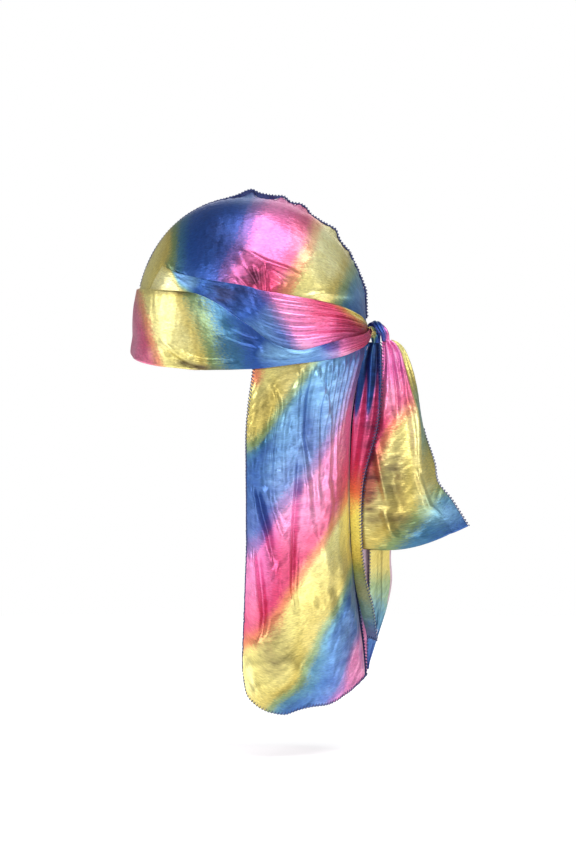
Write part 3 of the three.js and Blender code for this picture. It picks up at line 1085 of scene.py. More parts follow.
@dataclass(frozen=True)
class CrownForm:
    """The cap over the head, and the ruffle beside its middle seam."""

    ruffle_reach: float = 15.0
    dome_share: float = 0.8

    def base(self, side: int, over: Array, down: Array) -> Array:
        """Points of the outer face before any ruffle.

        Args:
            side: 1 for the wearer's left.
            over: Share of the way from front to back.
            down: Share of the way from the seam to the hem.

        Returns:
            Points in mm.
        """
        y = -HEAD.half_length * np.cos(math.pi * over)
        roundness = HEAD.roundness_at(y)
        reach = np.clip(np.abs(y) / HEAD.half_length, 0, 1)
        ring = 1 - reach**roundness
        slope = (math.pi / 2) * np.clip(down / self.dome_share, 0, 1)
        below = np.clip((down - self.dome_share) / (1 - self.dome_share), 0, 1)
        turn = np.degrees(np.arccos(np.clip(-np.sign(y) * reach ** (roundness / 2), -1, 1)))
        dome = HEAD.widest + HEAD.rise * np.sqrt(ring) * np.cos(slope)
        height = np.where(down < self.dome_share, dome, mix(HEAD.widest, WRAPS.crown_hem(turn), below))
        x = side * HEAD.width_at(y) * (ring * np.sin(slope) ** 2) ** (1 / HEAD.side_roundness)
        return np.stack([x, y, height], axis=-1)

    def ruffle(self, over: Array, x: Array, height: Array) -> Array:
        """Lift beside the seam.

        Args:
            over: Share of the way from front to back.
            x: Distance beside the seam.
            height: Height of the point.

        Returns:
            Lift in mm.
        """
        beside = 1 - ease(np.abs(x), 0, self.ruffle_reach)
        above = ease(height, HEAD.widest, HEAD.widest + self.ruffle_reach)
        return profile(RUFFLE_ROWS, "over", "lift")(180 * over) * beside * above


CROWN = CrownForm()

CROWN_DYE = (
    Dye(-98, 0.60),
    Dye(-80, 0.67),
    Dye(-73, 0.74),
    Dye(-67, 0.83),
    Dye(-58, 0.94),
    Dye(-48, 1.0),
    Dye(-27, 1.04),
    Dye(-16, 1.14),
    Dye(-5, 1.22),
    Dye(8, 1.29),
    Dye(26, 1.36),
    Dye(36, 1.43),
    Dye(47, 1.53),
    Dye(58, 1.62),
    Dye(80, 1.69),
    Dye(92, 1.79),
    Dye(99, 1.87),
    Dye(108, 1.97),
    Dye(118, 2.02),
)
CROWN_FOLDS = (
    Fold(((-10, 103), (-4, 99), (10, 91), (29, 84), (46, 78)), 3.4, 3.4, 0.8),
    Fold(((-14, 99), (-6, 86), (3, 76), (12, 60)), 7.0, -3.6),
    Fold(((11, 91), (11.5, 80), (13, 60)), 2.1, 2.4, -0.3),
    Fold(((9, 89), (19, 80), (32, 70)), 2.4, 2.2, 0.5),
    Fold(((-1, 91), (4, 80), (11, 64)), 2.0, 1.0, 0.2),
    Fold(((-13, 79), (-6, 72), (4, 62)), 2.2, 1.5, 0.3),
    Fold(((15, 70), (22, 69), (30, 70)), 2.6, 1.0),
    Fold(((-25, 74), (-17, 69), (-10, 66)), 2.2, 0.8),
    Fold(((-74, 92), (-66, 84), (-56, 78)), 1.6, 1.3),
    Fold(((-70, 88), (-62, 80), (-52, 76)), 1.4, -1.2),
    Fold(((40, 60), (62, 63), (92, 60)), 2.8, 1.8, 0.9),
    Fold(((38, 92), (60, 93), (84, 88)), 5.0, 0.8, 0.5),
)
# Painted highlights where the amount is above zero and painted shade where it is below, over the near crown
# half: its lit top, its folds and the hollow under them.
CROWN_PAINTED_HIGHLIGHTS_AND_SHADE = (
    Patch(20, 112, 22, 18, -0.45),
    Patch(20, 132, 24, 10, 0.2),
    Patch(-28, 108, 17, 22, -0.6),
    Patch(-10, 104, 9, 12, -0.3),
    Patch(-20, 80, 10, 10, -0.3),
    Patch(56, 108, 24, 18, 0.95),
    Patch(71, 84, 18, 14, 0.6),
    Patch(28, 78, 10, 9, 0.3),
    Patch(62, 60, 26, 5, 0.4),
    Patch(0, 78, 13, 13, -1.1),
    Patch(92, 64, 10, 22, 0.35),
    Patch(8, 143, 16, 6, 0.3),
)

CROWN_SHIFTS = (
    Patch(0, 78, 15, 16, 0.07),
    Patch(30, 104, 14, 14, -0.04),
    Patch(-70, 102, 8, 14, -0.04),
    Patch(50, 108, 8, 14, -0.03),
)
CROWN_FRONT_LEAN = 0.1
CROWN_REAR_LEAN = 0.48
CROWN_DYE_LEVEL = 100.0


def crown_dye(behind: Array, up: Array) -> Array:
    """Hue of the crown; its bands lean further forward towards the back.

    Args:
        behind: Distance behind the head's middle in mm.
        up: Height in mm.

    Returns:
        Hue in turns of the dye.
    """
    lean = mix(CROWN_FRONT_LEAN, CROWN_REAR_LEAN, ease(behind, -62, -8))
    return profile(CROWN_DYE, "at", "hue")(behind - lean * (up - CROWN_DYE_LEVEL))


@dataclass
class CrownPanel(SatinPiece):
    """One half of the cap."""

    side: Side = Side.LEFT
    columns: int = 290
    rows: int = 130
    seam_gap: float = 0.02
    smooth_above: float = 6.0
    folded_above: float = 30.0
    pucker_reach: float = 9.0
    pucker_grows: Span = (0.3, 0.45)
    # Base paleness of the dye under the painted highlights and painted shade; all of them die away within
    # pale_beside mm of the seam.
    paleness: float = 0.06
    pale_beside: float = 6.0
    far_hue: float = 0.2
    far_hue_reach: float = 60.0

    def cloth(self) -> Cloth:
        """Grid from the seam to the hem, with its puckers and drag lines, and on the near half painted
        highlights and painted shade.

        Returns:
            The sheet's grid.
        """
        over, down = grid_shares(self.columns, self.rows)
        base = CROWN.base(self.side.value, over, down)
        x, y, z = base[..., 0], base[..., 1], base[..., 2]
        normals = HEAD.normal(base)
        run = run_of(base)
        beside = np.abs(x)
        high = ease(z, HEAD.widest + self.smooth_above, HEAD.widest + self.folded_above)
        lift = CROWN.ruffle(over, x, z)
        pucker = Ripple(seed=4, shortest=4.0, longest=9.0, lift=0.7, spread=0.5)
        near_seam = np.exp(-beside / self.pucker_reach)
        lift += pucker.over(run) * near_seam * ease(over, *self.pucker_grows) * high
        drape = Ripple(seed=11 + self.side.value, shortest=18, longest=60, lift=0.5)
        fine = Ripple(seed=21, shortest=4, longest=11, lift=0.05, lean=0.4, spread=1.0)
        lift += (drape.over(run) + fine.over(run)) * high
        if self.side is Side.LEFT:
            lift += fold_lift(CROWN_FOLDS, y, z) * high
        points = base + normals * (lift - HALF_WALL)[..., None]
        points[..., 0] += self.side.value * self.seam_gap / 2
        dye = crown_dye(y, z)
        if self.side is Side.RIGHT:
            dye = dye + self.far_hue * ease(beside, 0, self.far_hue_reach)
            return Cloth(points, dye, run, normals=normals)
        dye = dye + patched(CROWN_SHIFTS, 0.0, y, z)
        # Painted highlights and painted shade, on the near half only.
        fade = patched(CROWN_PAINTED_HIGHLIGHTS_AND_SHADE, self.paleness, y, z) * ease(beside, 0, self.pale_beside)
        return Cloth(points, dye, run, normals=normals, fade=fade)


BAND_DYE = (
    Dye(-104, 0.38),
    Dye(-94, 0.42),
    Dye(-88, 0.48),
    Dye(-83, 0.56),
    Dye(-78, 0.62),
    Dye(-56, 0.66),
    Dye(-49, 0.74),
    Dye(-40, 0.82),
    Dye(-28, 0.89),
    Dye(-15, 0.95),
    Dye(-2, 1.0),
    Dye(54, 1.02),
    Dye(61, 1.1),
    Dye(70, 1.17),
    Dye(80, 1.32),
    Dye(97, 1.42),
)
BAND_FOLDS = (
    Fold(((-80, 22), (-69, 12.5), (-60, 6.5), (-52, 2), (-39, -0.5), (-6, -1)), 1.7, -2.6, 0.3),
    Fold(((-78, 27), (-67, 18), (-58, 12), (-50, 7.5), (-38, 5), (-6, 5)), 2.2, 2.4, 0.6),
    Fold(((-30, 30), (-24.6, 27), (-9.4, 21), (8, 15.5)), 1.3, 1.9, 0.4),
    Fold(((-18, 33), (-4, 27), (10, 23)), 1.4, 1.2, 0.3),
    Fold(((-30, 40), (-12, 34), (0, 24), (12, 8)), 3.6, -1.2, -0.3),
    Fold(((-88, 52), (-87, 30), (-82, 12)), 5.0, 0.6),
    Fold(((20, 22), (46, 20), (84, 30)), 2.2, 1.0, 0.5),
)
# Painted highlights where the amount is above zero and painted shade where it is below: shade in the gap
# along the band's upper edge and in its lower creases, highlights on its lit front.
BAND_PAINTED_HIGHLIGHTS_AND_SHADE = (
    Patch(-66, 36, 20, 26, 0.34),
    Patch(-14, 20, 14, 16, -0.35),
    Patch(-98, 30, 8, 34, 0.55),
    Patch(-66, 63.5, 24, 2.6, -0.9),
    Patch(34, 14, 30, 9, 0.75),
    Patch(2, 26, 9, 26, -0.35),
    Patch(68, 24, 10, 9, -0.7),
    Patch(-66, 12, 7, 3, -0.5),
    Patch(-56, 5, 8, 3, -0.8),
    Patch(-43, 1, 10, 3, -0.8),
    Patch(-36, 4, 20, 8, -0.3),
    Patch(84, 12, 16, 3, 0.7),
    Patch(-86, 8, 9, 9, 0.45),
)


@dataclass
class BrowBand(SatinPiece):
    """The outer wrap across the forehead and round to the knot."""

    columns: int = 460
    rows: int = 44
    first_layer: float = 0.8
    second_layer: float = 2.8
    hem_flare: float = 2.5
    hem_flare_height: float = 16.0
    lap_turns: Span = (8.0, 24.0)
    flare_turns: Span = (10.0, 60.0)
    roll_turns: Span = (90.0, 110.0)
    pull_turns: Span = (100.0, 160.0)
    rear_roll: float = 1.2
    front_roll: float = 0.9
    front_roll_share: float = 1.2
    pull_stretch: float = 0.2
    dye_lean: float = 0.32
    rear_lean_loss: float = 0.7
    dye_level: float = 30.0
    far_hue: float = 0.25
    far_hue_reach: float = 60.0
    paleness: float = 0.06

    def cloth(self) -> Cloth:
        """Grid from the hem to the upper edge, all the way round.

        Returns:
            The sheet's grid.
        """
        around, up = grid_shares(self.columns, self.rows)
        turn = mix(-WRAPS.end_turn, WRAPS.end_turn, around)
        side = np.abs(turn)
        height = mix(WRAPS.band_hem(turn), WRAPS.band_top(turn), up)
        over_strap = ease(side, *self.lap_turns)
        near_hem = 1 - ease(height - WRAPS.band_hem(turn), 0, self.hem_flare_height)
        front = 1 - ease(side, *self.flare_turns)
        lift = mix(self.first_layer, self.second_layer, over_strap) + HALF_WALL
        lift = lift + self.hem_flare * near_hem * front
        flat = HEAD.point(turn, height, lift)
        run = run_of(flat)
        rolled = ease(side, *self.roll_turns)
        lift = lift + self.rear_roll * np.sin(math.pi * up) * rolled
        low = np.clip(up * self.front_roll_share, 0, 1)
        lift = lift + self.front_roll * np.sin(math.pi * low) * (1 - rolled)
        drape = Ripple(seed=31, shortest=14, longest=50, lift=0.35)
        fine = Ripple(seed=32, shortest=4, longest=9, lift=0.07, lean=0.2, spread=0.9)
        lift = lift + drape.over(run) + fine.over(run)
        pulled = Ripple(seed=33, shortest=3, longest=8, lift=0.35, lean=math.pi / 2, spread=0.25)
        near_knot = ease(side, *self.pull_turns)
        lift = lift + pulled(run[..., 0] * self.pull_stretch, run[..., 1]) * near_knot
        lift = lift + fold_lift(BAND_FOLDS, flat[..., 1], flat[..., 2]) * (flat[..., 0] > 0)
        points = HEAD.point(turn, height, lift)
        above = points[..., 2] - self.dye_level
        across = points[..., 1] + self.dye_lean * above * (1 - self.rear_lean_loss * rolled)
        dye = profile(BAND_DYE, "at", "hue")(across)
        dye = dye + self.far_hue * ease(-points[..., 0], 0, self.far_hue_reach)
        # The dye's paleness with painted highlights and painted shade.
        fade = patched(BAND_PAINTED_HIGHLIGHTS_AND_SHADE, self.paleness, points[..., 1], points[..., 2])
        return Cloth(points, dye, run, fade=fade)


STRAP_DYE = (
    Dye(-60, 0.98),
    Dye(-8, 1.0),
    Dye(8, 1.05),
    Dye(16, 1.14),
    Dye(24, 1.24),
    Dye(40, 1.33),
    Dye(60, 1.40),
    Dye(70, 1.46),
    Dye(76, 1.56),
    Dye(82, 1.66),
    Dye(95, 1.72),
)
STRAP_TIP_DYE = (
    Dye(-50, 0.62),
    Dye(-40, 0.68),
    Dye(-35, 0.82),
    Dye(-30, 0.94),
    Dye(-26, 1.0),
)
# Painted highlights where the amount is above zero and painted shade where it is below: a pale lit tip and
# painted shade over the blue part of the strap.
STRAP_PAINTED_HIGHLIGHTS_AND_SHADE = (
    Patch(-58, 72, 18, 10, 0.8),
    Patch(-78, 72, 10, 10, 0.45),
    Patch(10, 34, 22, 14, 0.28),
    Patch(30, 52, 20, 10, 0.25),
    Patch(-20, 64, 26, 17, -0.95),
    Patch(42, 16, 16, 8, 0.5),
    Patch(88, 34, 14, 10, -0.45),
    Patch(56, 40, 22, 12, 0.12),
)


@dataclass
class TempleStrap(SatinPiece):
    """Upper wrap from a temple to the knot, fanned out from its pleats."""

    side: Side = Side.LEFT
    columns: int = 210
    rows: int = 110
    front_low_turn: float = 26.0
    front_top_turn: float = 36.0
    lap: float = 10.0
    rear_lap: float = 5.0
    lap_turns: Span = (60.0, 120.0)
    over_edge: Span = (1.0, 6.0)
    gather_grows: Span = (0.35, 0.8)
    knot_squeeze: float = 0.85
    knot_near: Span = (0.88, 1.0)
    top_edge: Span = (0.95, 1.0)
    drape_grows: Span = (0.02, 0.2)
    pleat_lift: float = 1.7
    pleats: float = 5.5
    pleat_sharpness: float = 0.6
    small_pleat_lift: float = 0.9
    small_pleats: float = 2.6
    small_pleat_sway: float = 0.35
    tightest: float = -0.3
    edge_flatness: float = 0.25
    tip_lift: float = 0.3
    wrap_lift: float = 1.4
    tip_share: float = 0.08
    dye_level: float = 52.0
    front_lean: float = 0.58
    rear_lean: float = 1.2
    lean_change: Span = (45.0, 72.0)
    tip_lean: float = 1.5
    tip_shift: float = 16.0
    tip_turn: Span = (58.0, 70.0)
    tip_end: float = -26.0
    far_hue: float = 0.25
    paleness: float = 0.04
    # Cap on the painted highlights away from the strap's tip.
    palest: float = 0.5

    def cloth(self) -> Cloth:
        """Grid from the temple to the knot, pleated towards the knot.

        Returns:
            The sheet's grid.
        """
        back, up = grid_shares(self.columns, self.rows)
        turn = mix(mix(self.front_low_turn, self.front_top_turn, up), WRAPS.end_turn, back)
        lap = mix(self.lap, self.rear_lap, ease(turn, *self.lap_turns))
        height = mix(WRAPS.band_top(turn) - lap, WRAPS.strap_top(turn), up)
        over_band = ease(height - WRAPS.band_top(turn), *self.over_edge)
        squeezed = self.knot_squeeze * ease(back, *self.knot_near)
        gathered = ease(back, *self.gather_grows) * (1 - squeezed)
        below_top = 1 - ease(up, *self.top_edge)
        flat = HEAD.point(self.side.value * turn, height, self.wrap_lift)
        run = run_of(flat)
        wave = 0.5 - 0.5 * np.cos(2 * math.pi * self.pleats * up)
        lift = self.pleat_lift * wave**self.pleat_sharpness * gathered
        sway = self.small_pleat_sway * np.sin(7 * back)
        small = 0.5 - 0.5 * np.cos(2 * math.pi * (self.small_pleats * self.pleats * up + sway))
        lift = lift + self.small_pleat_lift * small * gathered
        drape = Ripple(seed=41 + self.side.value, shortest=12, longest=40, lift=0.4)
        fine = Ripple(seed=43, shortest=3, longest=8, lift=0.08, lean=1.2, spread=0.9)
        lift = lift + drape.over(run) * ease(back, *self.drape_grows) * below_top
        lift = lift + fine.over(run)
        lift = np.maximum(lift, self.tightest) * over_band * mix(self.edge_flatness, 1.0, below_top)
        lift = lift + mix(self.tip_lift, self.wrap_lift, ease(back, 0.0, self.tip_share))
        points = HEAD.point(self.side.value * turn, height, lift)
        behind, above = points[..., 1], points[..., 2] - self.dye_level
        across = behind + mix(self.front_lean, self.rear_lean, ease(behind, *self.lean_change)) * above
        dye = profile(STRAP_DYE, "at", "hue")(across)
        from_tip = behind + self.tip_lean * above - self.tip_shift * ease(-behind, *self.tip_turn)
        tip = profile(STRAP_TIP_DYE, "at", "hue")(from_tip)
        at_tip = from_tip < self.tip_end
        dye = np.where(at_tip, tip, dye)
        if self.side is Side.RIGHT:
            dye = dye + self.far_hue
        # The dye's paleness with painted highlights and painted shade.
        fade = patched(STRAP_PAINTED_HIGHLIGHTS_AND_SHADE, self.paleness, behind, points[..., 2])
        fade = np.where(at_tip, fade, np.minimum(fade, self.palest))
        outward = HEAD.normal(HEAD.point(self.side.value * turn, height, 0.0))
        return Cloth(points, dye, run, normals=outward, fade=fade)


class BottomRow(NamedTuple):
    """Bottom edge of the cape by the share of the way from its side edge to the seam."""

    across: float
    down: float


CAPE_BOTTOM = (
    BottomRow(0, 0.862),
    BottomRow(0.012, 0.905),
    BottomRow(0.026, 0.94),
    BottomRow(0.062, 0.966),
    BottomRow(0.103, 0.983),
    BottomRow(0.145, 0.993),
    BottomRow(0.226, 1.0),
    BottomRow(0.281, 0.991),
    BottomRow(0.369, 0.98),
    BottomRow(0.503, 0.973),
    BottomRow(0.624, 0.949),
    BottomRow(0.747, 0.927),
    BottomRow(0.92, 0.907),
    BottomRow(1, 0.906),
)


class LevelRow(NamedTuple):
    """Side edge and seam of the cape by the share of its length, as shares of half the head length."""

    down: float
    edge: float
    seam: float


CAPE_LEVELS = (
    LevelRow(-0.084, 0.03, 0.994),
    LevelRow(-0.034, 0.02, 0.98),
    LevelRow(0.02, 0.015, 0.939),
    LevelRow(0.1, -0.02, 0.888),
    LevelRow(0.19, -0.039, 0.86),
    LevelRow(0.39, -0.035, 0.852),
    LevelRow(0.51, -0.037, 0.857),
    LevelRow(0.65, -0.049, 0.898),
    LevelRow(0.74, -0.061, 0.935),
    LevelRow(0.82, -0.07, 0.967),
    LevelRow(0.91, -0.078, 0.988),
    LevelRow(1, -0.082, 0.998),
)


class CapeFold(NamedTuple):
    """A fold of the cape: where it runs across at its ends, from and to which share of the length."""

    start_across: float
    end_across: float
    start: float
    end: float
    width: float
    lift: float


GATHERS = (
    CapeFold(0.28, 0.33, 0.01, 0.3, 0.02, 2.2),
    CapeFold(0.34, 0.38, 0.01, 0.42, 0.025, 2.8),
    CapeFold(0.40, 0.43, 0.01, 0.3, 0.018, 2.2),
    CapeFold(0.45, 0.48, 0.01, 0.5, 0.022, 2.6),
    CapeFold(0.51, 0.52, 0.01, 0.28, 0.017, 2.2),
    CapeFold(0.56, 0.58, 0.01, 0.45, 0.02, 2.6),
    CapeFold(0.62, 0.62, 0.01, 0.3, 0.018, 2.2),
    CapeFold(0.67, 0.65, 0.01, 0.5, 0.02, 2.4),
    CapeFold(0.73, 0.70, 0.01, 0.35, 0.018, 2.0),
    CapeFold(0.79, 0.75, 0.01, 0.3, 0.018, 1.8),
)
LEFT_CAPE_FOLDS = (
    *GATHERS,
    CapeFold(0.045, 0.05, 0.02, 0.95, 0.035, 2.6),
    CapeFold(0.2, 0.36, 0.42, 0.9, 0.045, 1.6),
    CapeFold(0.48, 0.56, 0.35, 0.8, 0.05, 1.6),
    CapeFold(0.7, 0.66, 0.3, 0.85, 0.06, 1.4),
)
RIGHT_CAPE_FOLDS = (
    *GATHERS,
    CapeFold(0.06, 0.06, 0.02, 0.95, 0.04, 3.0),
    CapeFold(0.22, 0.16, 0.05, 0.8, 0.05, -4.0),
    CapeFold(0.4, 0.5, 0.3, 0.9, 0.06, 2.6),
    CapeFold(0.86, 0.86, 0.55, 1.1, 0.11, 9.5),
)
CAPE_DYE = (
    Dye(-10, 0.52),
    Dye(5, 0.58),
    Dye(20, 0.64),
    Dye(40, 0.70),
    Dye(55, 0.75),
    Dye(68, 0.86),
    Dye(78, 0.97),
    Dye(95, 1.0),
    Dye(130, 1.07),
    Dye(144, 1.13),
    Dye(154, 1.19),
    Dye(166, 1.27),
    Dye(190, 1.34),
    Dye(215, 1.42),
    Dye(226, 1.49),
    Dye(234, 1.56),
    Dye(243, 1.62),
    Dye(275, 1.70),
    Dye(295, 1.75),
    Dye(306, 1.84),
    Dye(316, 1.93),
    Dye(325, 2.0),
    Dye(350, 2.05),
    Dye(368, 2.12),
    Dye(380, 2.24),
    Dye(394, 2.30),
)


class ReachRow(NamedTuple):
    """How far the cape's colour bands are raised at a distance behind the head's middle, in mm."""

    behind: float
    rise: float


CAPE_DYE_REACH = (
    ReachRow(-10, -4),
    ReachRow(-2.5, 0),
    ReachRow(7.7, 7),
    ReachRow(24.7, 31),
    ReachRow(41.7, 54),
    ReachRow(58.7, 79),
    ReachRow(75.7, 108),
    ReachRow(84.2, 130),
    ReachRow(95, 158),
)
CAPE_CREASES = (
    Fold(((9, -4), (19, -16), (23, -31), (19, -55), (16, -89), (18, -118)), 3.2, 3.6, 0.5),
    Fold(((3, -4), (-1, -22), (-3, -50), (-1, -80)), 3.5, 2.2, 0.3),
    Fold(((1, -86), (5, -98), (10, -119), (16, -140), (22, -172)), 3.0, -4.2, 0.3),
    Fold(((8, -92), (15, -112), (22, -136), (28, -156)), 4.3, 3.1),
    Fold(((42, -62), (41, -98), (39, -123), (37, -166), (36, -187), (40, -214)), 2.6, -4.1, 0.6),
    Fold(((47, -70), (46, -110), (43, -160)), 4.1, 2.2),
    Fold(((55, 2), (62, -26), (66, -56)), 3.2, 2.6, -0.3),
    Fold(((49, 0), (48.5, -30), (46, -76)), 5.7, -3.8),
    Fold(((43, -8), (29, -38), (25, -64), (26, -98), (32, -122)), 4.0, 2.4, -0.3),
    Fold(((46, -86), (48.5, -115), (52, -140), (60, -166)), 5.0, 2.2, 0.3),
    Fold(((62, -86), (66, -115), (60, -148)), 3.5, 2.2, -0.3),
    Fold(((3, -134), (6, -166), (9.4, -191), (11, -208), (9, -222), (0, -238)), 3.5, -4.1, -0.4),
    Fold(((1, -150), (2, -180), (3.6, -212)), 5.4, 3.1),
    Fold(((-6, -240), (-3, -263), (7, -284)), 5.1, 3.1),
    Fold(((24, -158), (21, -178), (26, -206)), 3.0, 2.2, 0.3),
    Fold(((54, -176), (70, -186), (84, -200)), 6.0, -1.0),
    Fold(((46, -190), (56, -206), (66, -214)), 6.0, 1.0),
    Fold(((78, -150), (80, -190), (86, -226)), 5.4, 1.7),
    Fold(((30, -240), (44, -262), (40, -284)), 6.8, 1.9),
)
# Painted highlights where the amount is above zero and painted shade where it is below, placed over the cape
# by the folds of the near half.
CAPE_PAINTED_HIGHLIGHTS_AND_SHADE = (
    Patch(34, -46, 16, 36, 0.4),
    Patch(64, -20, 20, 34, 0.6),
    Patch(6, -70, 9, 60, -0.25),
    Patch(22, -222, 20, 34, -0.1),
    Patch(56, -110, 20, 40, 0.26),
    Patch(22, -118, 14, 30, 0.22),
    Patch(50, -196, 30, 30, -0.2),
    Patch(66, -226, 26, 24, 0.22),
    Patch(2, -208, 6, 14, 0.3),
    Patch(14, -22, 13, 22, -0.55),
    Patch(16, -84, 12, 18, 0.22),
    Patch(20, -242, 21, 30, -0.72),
    Patch(17, -150, 8, 38, -0.5),
    Patch(14, -62, 7, 30, -0.15),
    Patch(-2, -262, 5, 16, 0.5),
    Patch(36, -160, 4, 30, -0.3),
    Patch(47, -42, 6, 28, -0.4),
)

CAPE_SHIFTS = (
    Patch(38, -264, 26, 16, -0.13),
    Patch(22, -216, 14, 34, -0.05),
    Patch(5, -9, 7, 9, -0.07),
    Patch(58, -242, 12, 12, -0.06),
    Patch(80, -270, 12, 12, -0.06),
    Patch(24, -150, 10, 30, 0.05),
)


def cape_dye(behind: Array, up: Array) -> Array:
    """Hue of the cape; its bands rise ever steeper towards the seam.

    Args:
        behind: Distance behind the head's middle in mm.
        up: Height in mm.

    Returns:
        Hue in turns of the dye.
    """
    fall = profile(CAPE_DYE_REACH, "behind", "rise")(behind) - up
    hue = profile(CAPE_DYE, "at", "hue")(fall)
    return hue + patched(CAPE_SHIFTS, 0.0, behind, up)


@dataclass(frozen=True)
class CapeForm:
    """Shape of the cape that hangs from the crown's hem round the neck."""

    length: float = 292.0
    edge_turn: float = 92.0
    narrowing: float = 0.13
    seam_gap: float = 0.1
    folds_stop: float = 0.9

    def point(self, side: Side, folds: Sequence[CapeFold], across: Array, down: Array) -> Array:
        """Points of the middle surface.

        Args:
            side: Which half.
            folds: Its folds.
            across: Share of the way from the side edge to the seam.
            down: Share of the way from the hem to the bottom edge.

        Returns:
            Points in mm.
        """
        turn = mix(self.edge_turn, 180.0, across)
        top = WRAPS.crown_hem(turn) - WRAPS.hem_gap
        bottom = -self.length * profile(CAPE_BOTTOM, "across", "down")(across)
        height = mix(top, bottom, down)
        hung = -height / self.length
        ring = HEAD.point(turn, 0.0, -HALF_WALL)
        start, end = HEAD.point(np.array([self.edge_turn, 180.0]), 0.0, -HALF_WALL)[:, 1]
        behind = (ring[..., 1] - start) / (end - start)
        edge = HEAD.half_length * profile(CAPE_LEVELS, "down", "edge")(hung)
        seam = HEAD.half_length * profile(CAPE_LEVELS, "down", "seam")(hung)
        narrow = 1 - self.narrowing * ease(down, 0, 1)
        away = HEAD.normal(HEAD.point(turn, 0.0, 0.0))
        lift = self.lift(folds, across, down) * (1 - ease(across, self.folds_stop, 1))
        return np.stack([
            side.value * (self.seam_gap / 2 + ring[..., 0] * narrow + away[..., 0] * lift),
            mix(edge, seam, behind) + away[..., 1] * lift,
            height,
        ], axis=-1)

    @staticmethod
    def lift(folds: Sequence[CapeFold], across: Array, down: Array) -> Array:
        """Lift of the cape by its folds.

        Args:
            folds: The folds.
            across: Share of the way from the side edge to the seam.
            down: Share of the way down.

        Returns:
            Lift in mm.
        """
        total = np.zeros_like(across)
        for fold in folds:
            part = (down - fold.start) / (fold.end - fold.start)
            middle = mix(fold.start_across, fold.end_across, np.clip(part, 0, 1))
            ends = ease(part, 0, 0.15) * (1 - ease(part, 0.5, 1))
            total += fold.lift * np.exp(-(((across - middle) / fold.width) ** 2)) * ends
        return total


CAPE = CapeForm()


@dataclass
class CapePanel(SatinPiece):
    """One half of the cape."""

    side: Side = Side.LEFT
    folds: tuple[CapeFold, ...] = LEFT_CAPE_FOLDS
    columns: int = 170
    rows: int = 190
    edge_crowding: float = 0.35
    tuck: float = 0.012
    tuck_depth: float = 1.3
    drape_grows: Span = (0.01, 0.06)
    seam_calm: float = 0.93
    far_hue: float = 0.12
    far_hue_grows: Span = (0.05, 0.3)
    # Paler dye of the cape, under its painted highlights and painted shade.
    paleness: float = 0.24

    def cloth(self) -> Cloth:
        """Grid from the side edge to the seam and from the hem down.

        Returns:
            The sheet's grid.
        """
        spread = shares(self.columns)
        spread = mix(spread, spread**2, self.edge_crowding)
        across, down = np.meshgrid(spread, mix(-self.tuck, 1.0, shares(self.rows)), indexing="ij")
        flat = CAPE.point(self.side, (), across, down)
        points = CAPE.point(self.side, self.folds, across, down)
        run = run_of(flat)
        drape = Ripple(seed=51 + self.side.value, shortest=16, longest=60, lift=0.8, lean=0.0, spread=1.2)
        fine = Ripple(seed=53, shortest=4, longest=10, lift=0.1, lean=0.5, spread=0.8)
        crush = Ripple(seed=54, shortest=6, longest=14, lift=0.22, lean=0.9, spread=0.7)
        quiet = ease(down, *self.drape_grows) * (1 - ease(across, self.seam_calm, 1))
        lift = drape.over(run) + fine.over(run)
        lift = (lift + crush.over(run)) * quiet
        if self.side is Side.LEFT:
            lift = lift + fold_lift(CAPE_CREASES, points[..., 1], points[..., 2])
        turn = mix(CAPE.edge_turn, 180.0, across)
        away = HEAD.normal(HEAD.point(turn, 0.0, 0.0))
        lift = lift - self.tuck_depth * (1 - ease(down, -0.002, self.tuck))
        points[..., 0] += self.side.value * away[..., 0] * lift
        points[..., 1] += away[..., 1] * lift
        dye = cape_dye(points[..., 1], points[..., 2])
        if self.side is Side.RIGHT:
            dye = dye + self.far_hue * ease(1 - across, *self.far_hue_grows)
        # The dye's paleness with painted highlights and painted shade.
        fade = patched(CAPE_PAINTED_HIGHLIGHTS_AND_SHADE, self.paleness, points[..., 1], points[..., 2])
        middle = points[self.columns // 3, self.rows // 2]
        normals = Cloth(points, dye, run).faces_normals()
        if normals[self.columns // 3, self.rows // 2, 0] * middle[0] < 0:
            normals = -normals
        return Cloth(points, dye, run, normals=normals, fade=fade)


class TailRow(NamedTuple):
    """A place on a line of a tie end, as shares of its width behind, length down and depth to the left."""

    behind: float
    down: float
    left: float


FLARE_EDGE = (
    TailRow(0.004, 0, 0),
    TailRow(0.004, 0.052, 0),
    TailRow(0.004, 0.147, 0),
    TailRow(-0.005, 0.253, 0),
    TailRow(-0.024, 0.362, 0),
    TailRow(-0.071, 0.482, 0),
    TailRow(-0.146, 0.601, 0),
    TailRow(-0.174, 0.721, 0),
    TailRow(-0.192, 0.84, 0),
    TailRow(-0.192, 0.997, 0),
)
FLARE_FOLD = (
    TailRow(0.088, 0, 0.075),
    TailRow(0.172, 0.052, 0.12),
    TailRow(0.223, 0.138, 0.17),
    TailRow(0.284, 0.243, 0.22),
    TailRow(0.345, 0.348, 0.28),
    TailRow(0.368, 0.482, 0.34),
    TailRow(0.368, 0.606, 0.4),
    TailRow(0.396, 0.721, 0.46),
    TailRow(0.49, 0.811, 0.52),
    TailRow(0.658, 0.921, 0.575),
)
FLARE_OUTER = (
    TailRow(0.097, 0, -0.22),
    TailRow(0.2, 0.043, -0.28),
    TailRow(0.275, 0.129, -0.35),
    TailRow(0.326, 0.234, -0.4),
    TailRow(0.359, 0.338, -0.42),
    TailRow(0.415, 0.467, -0.4),
    TailRow(0.49, 0.587, -0.33),
    TailRow(0.527, 0.682, -0.2),
    TailRow(0.658, 0.768, 0),
    TailRow(0.807, 0.888, 0.175),
)
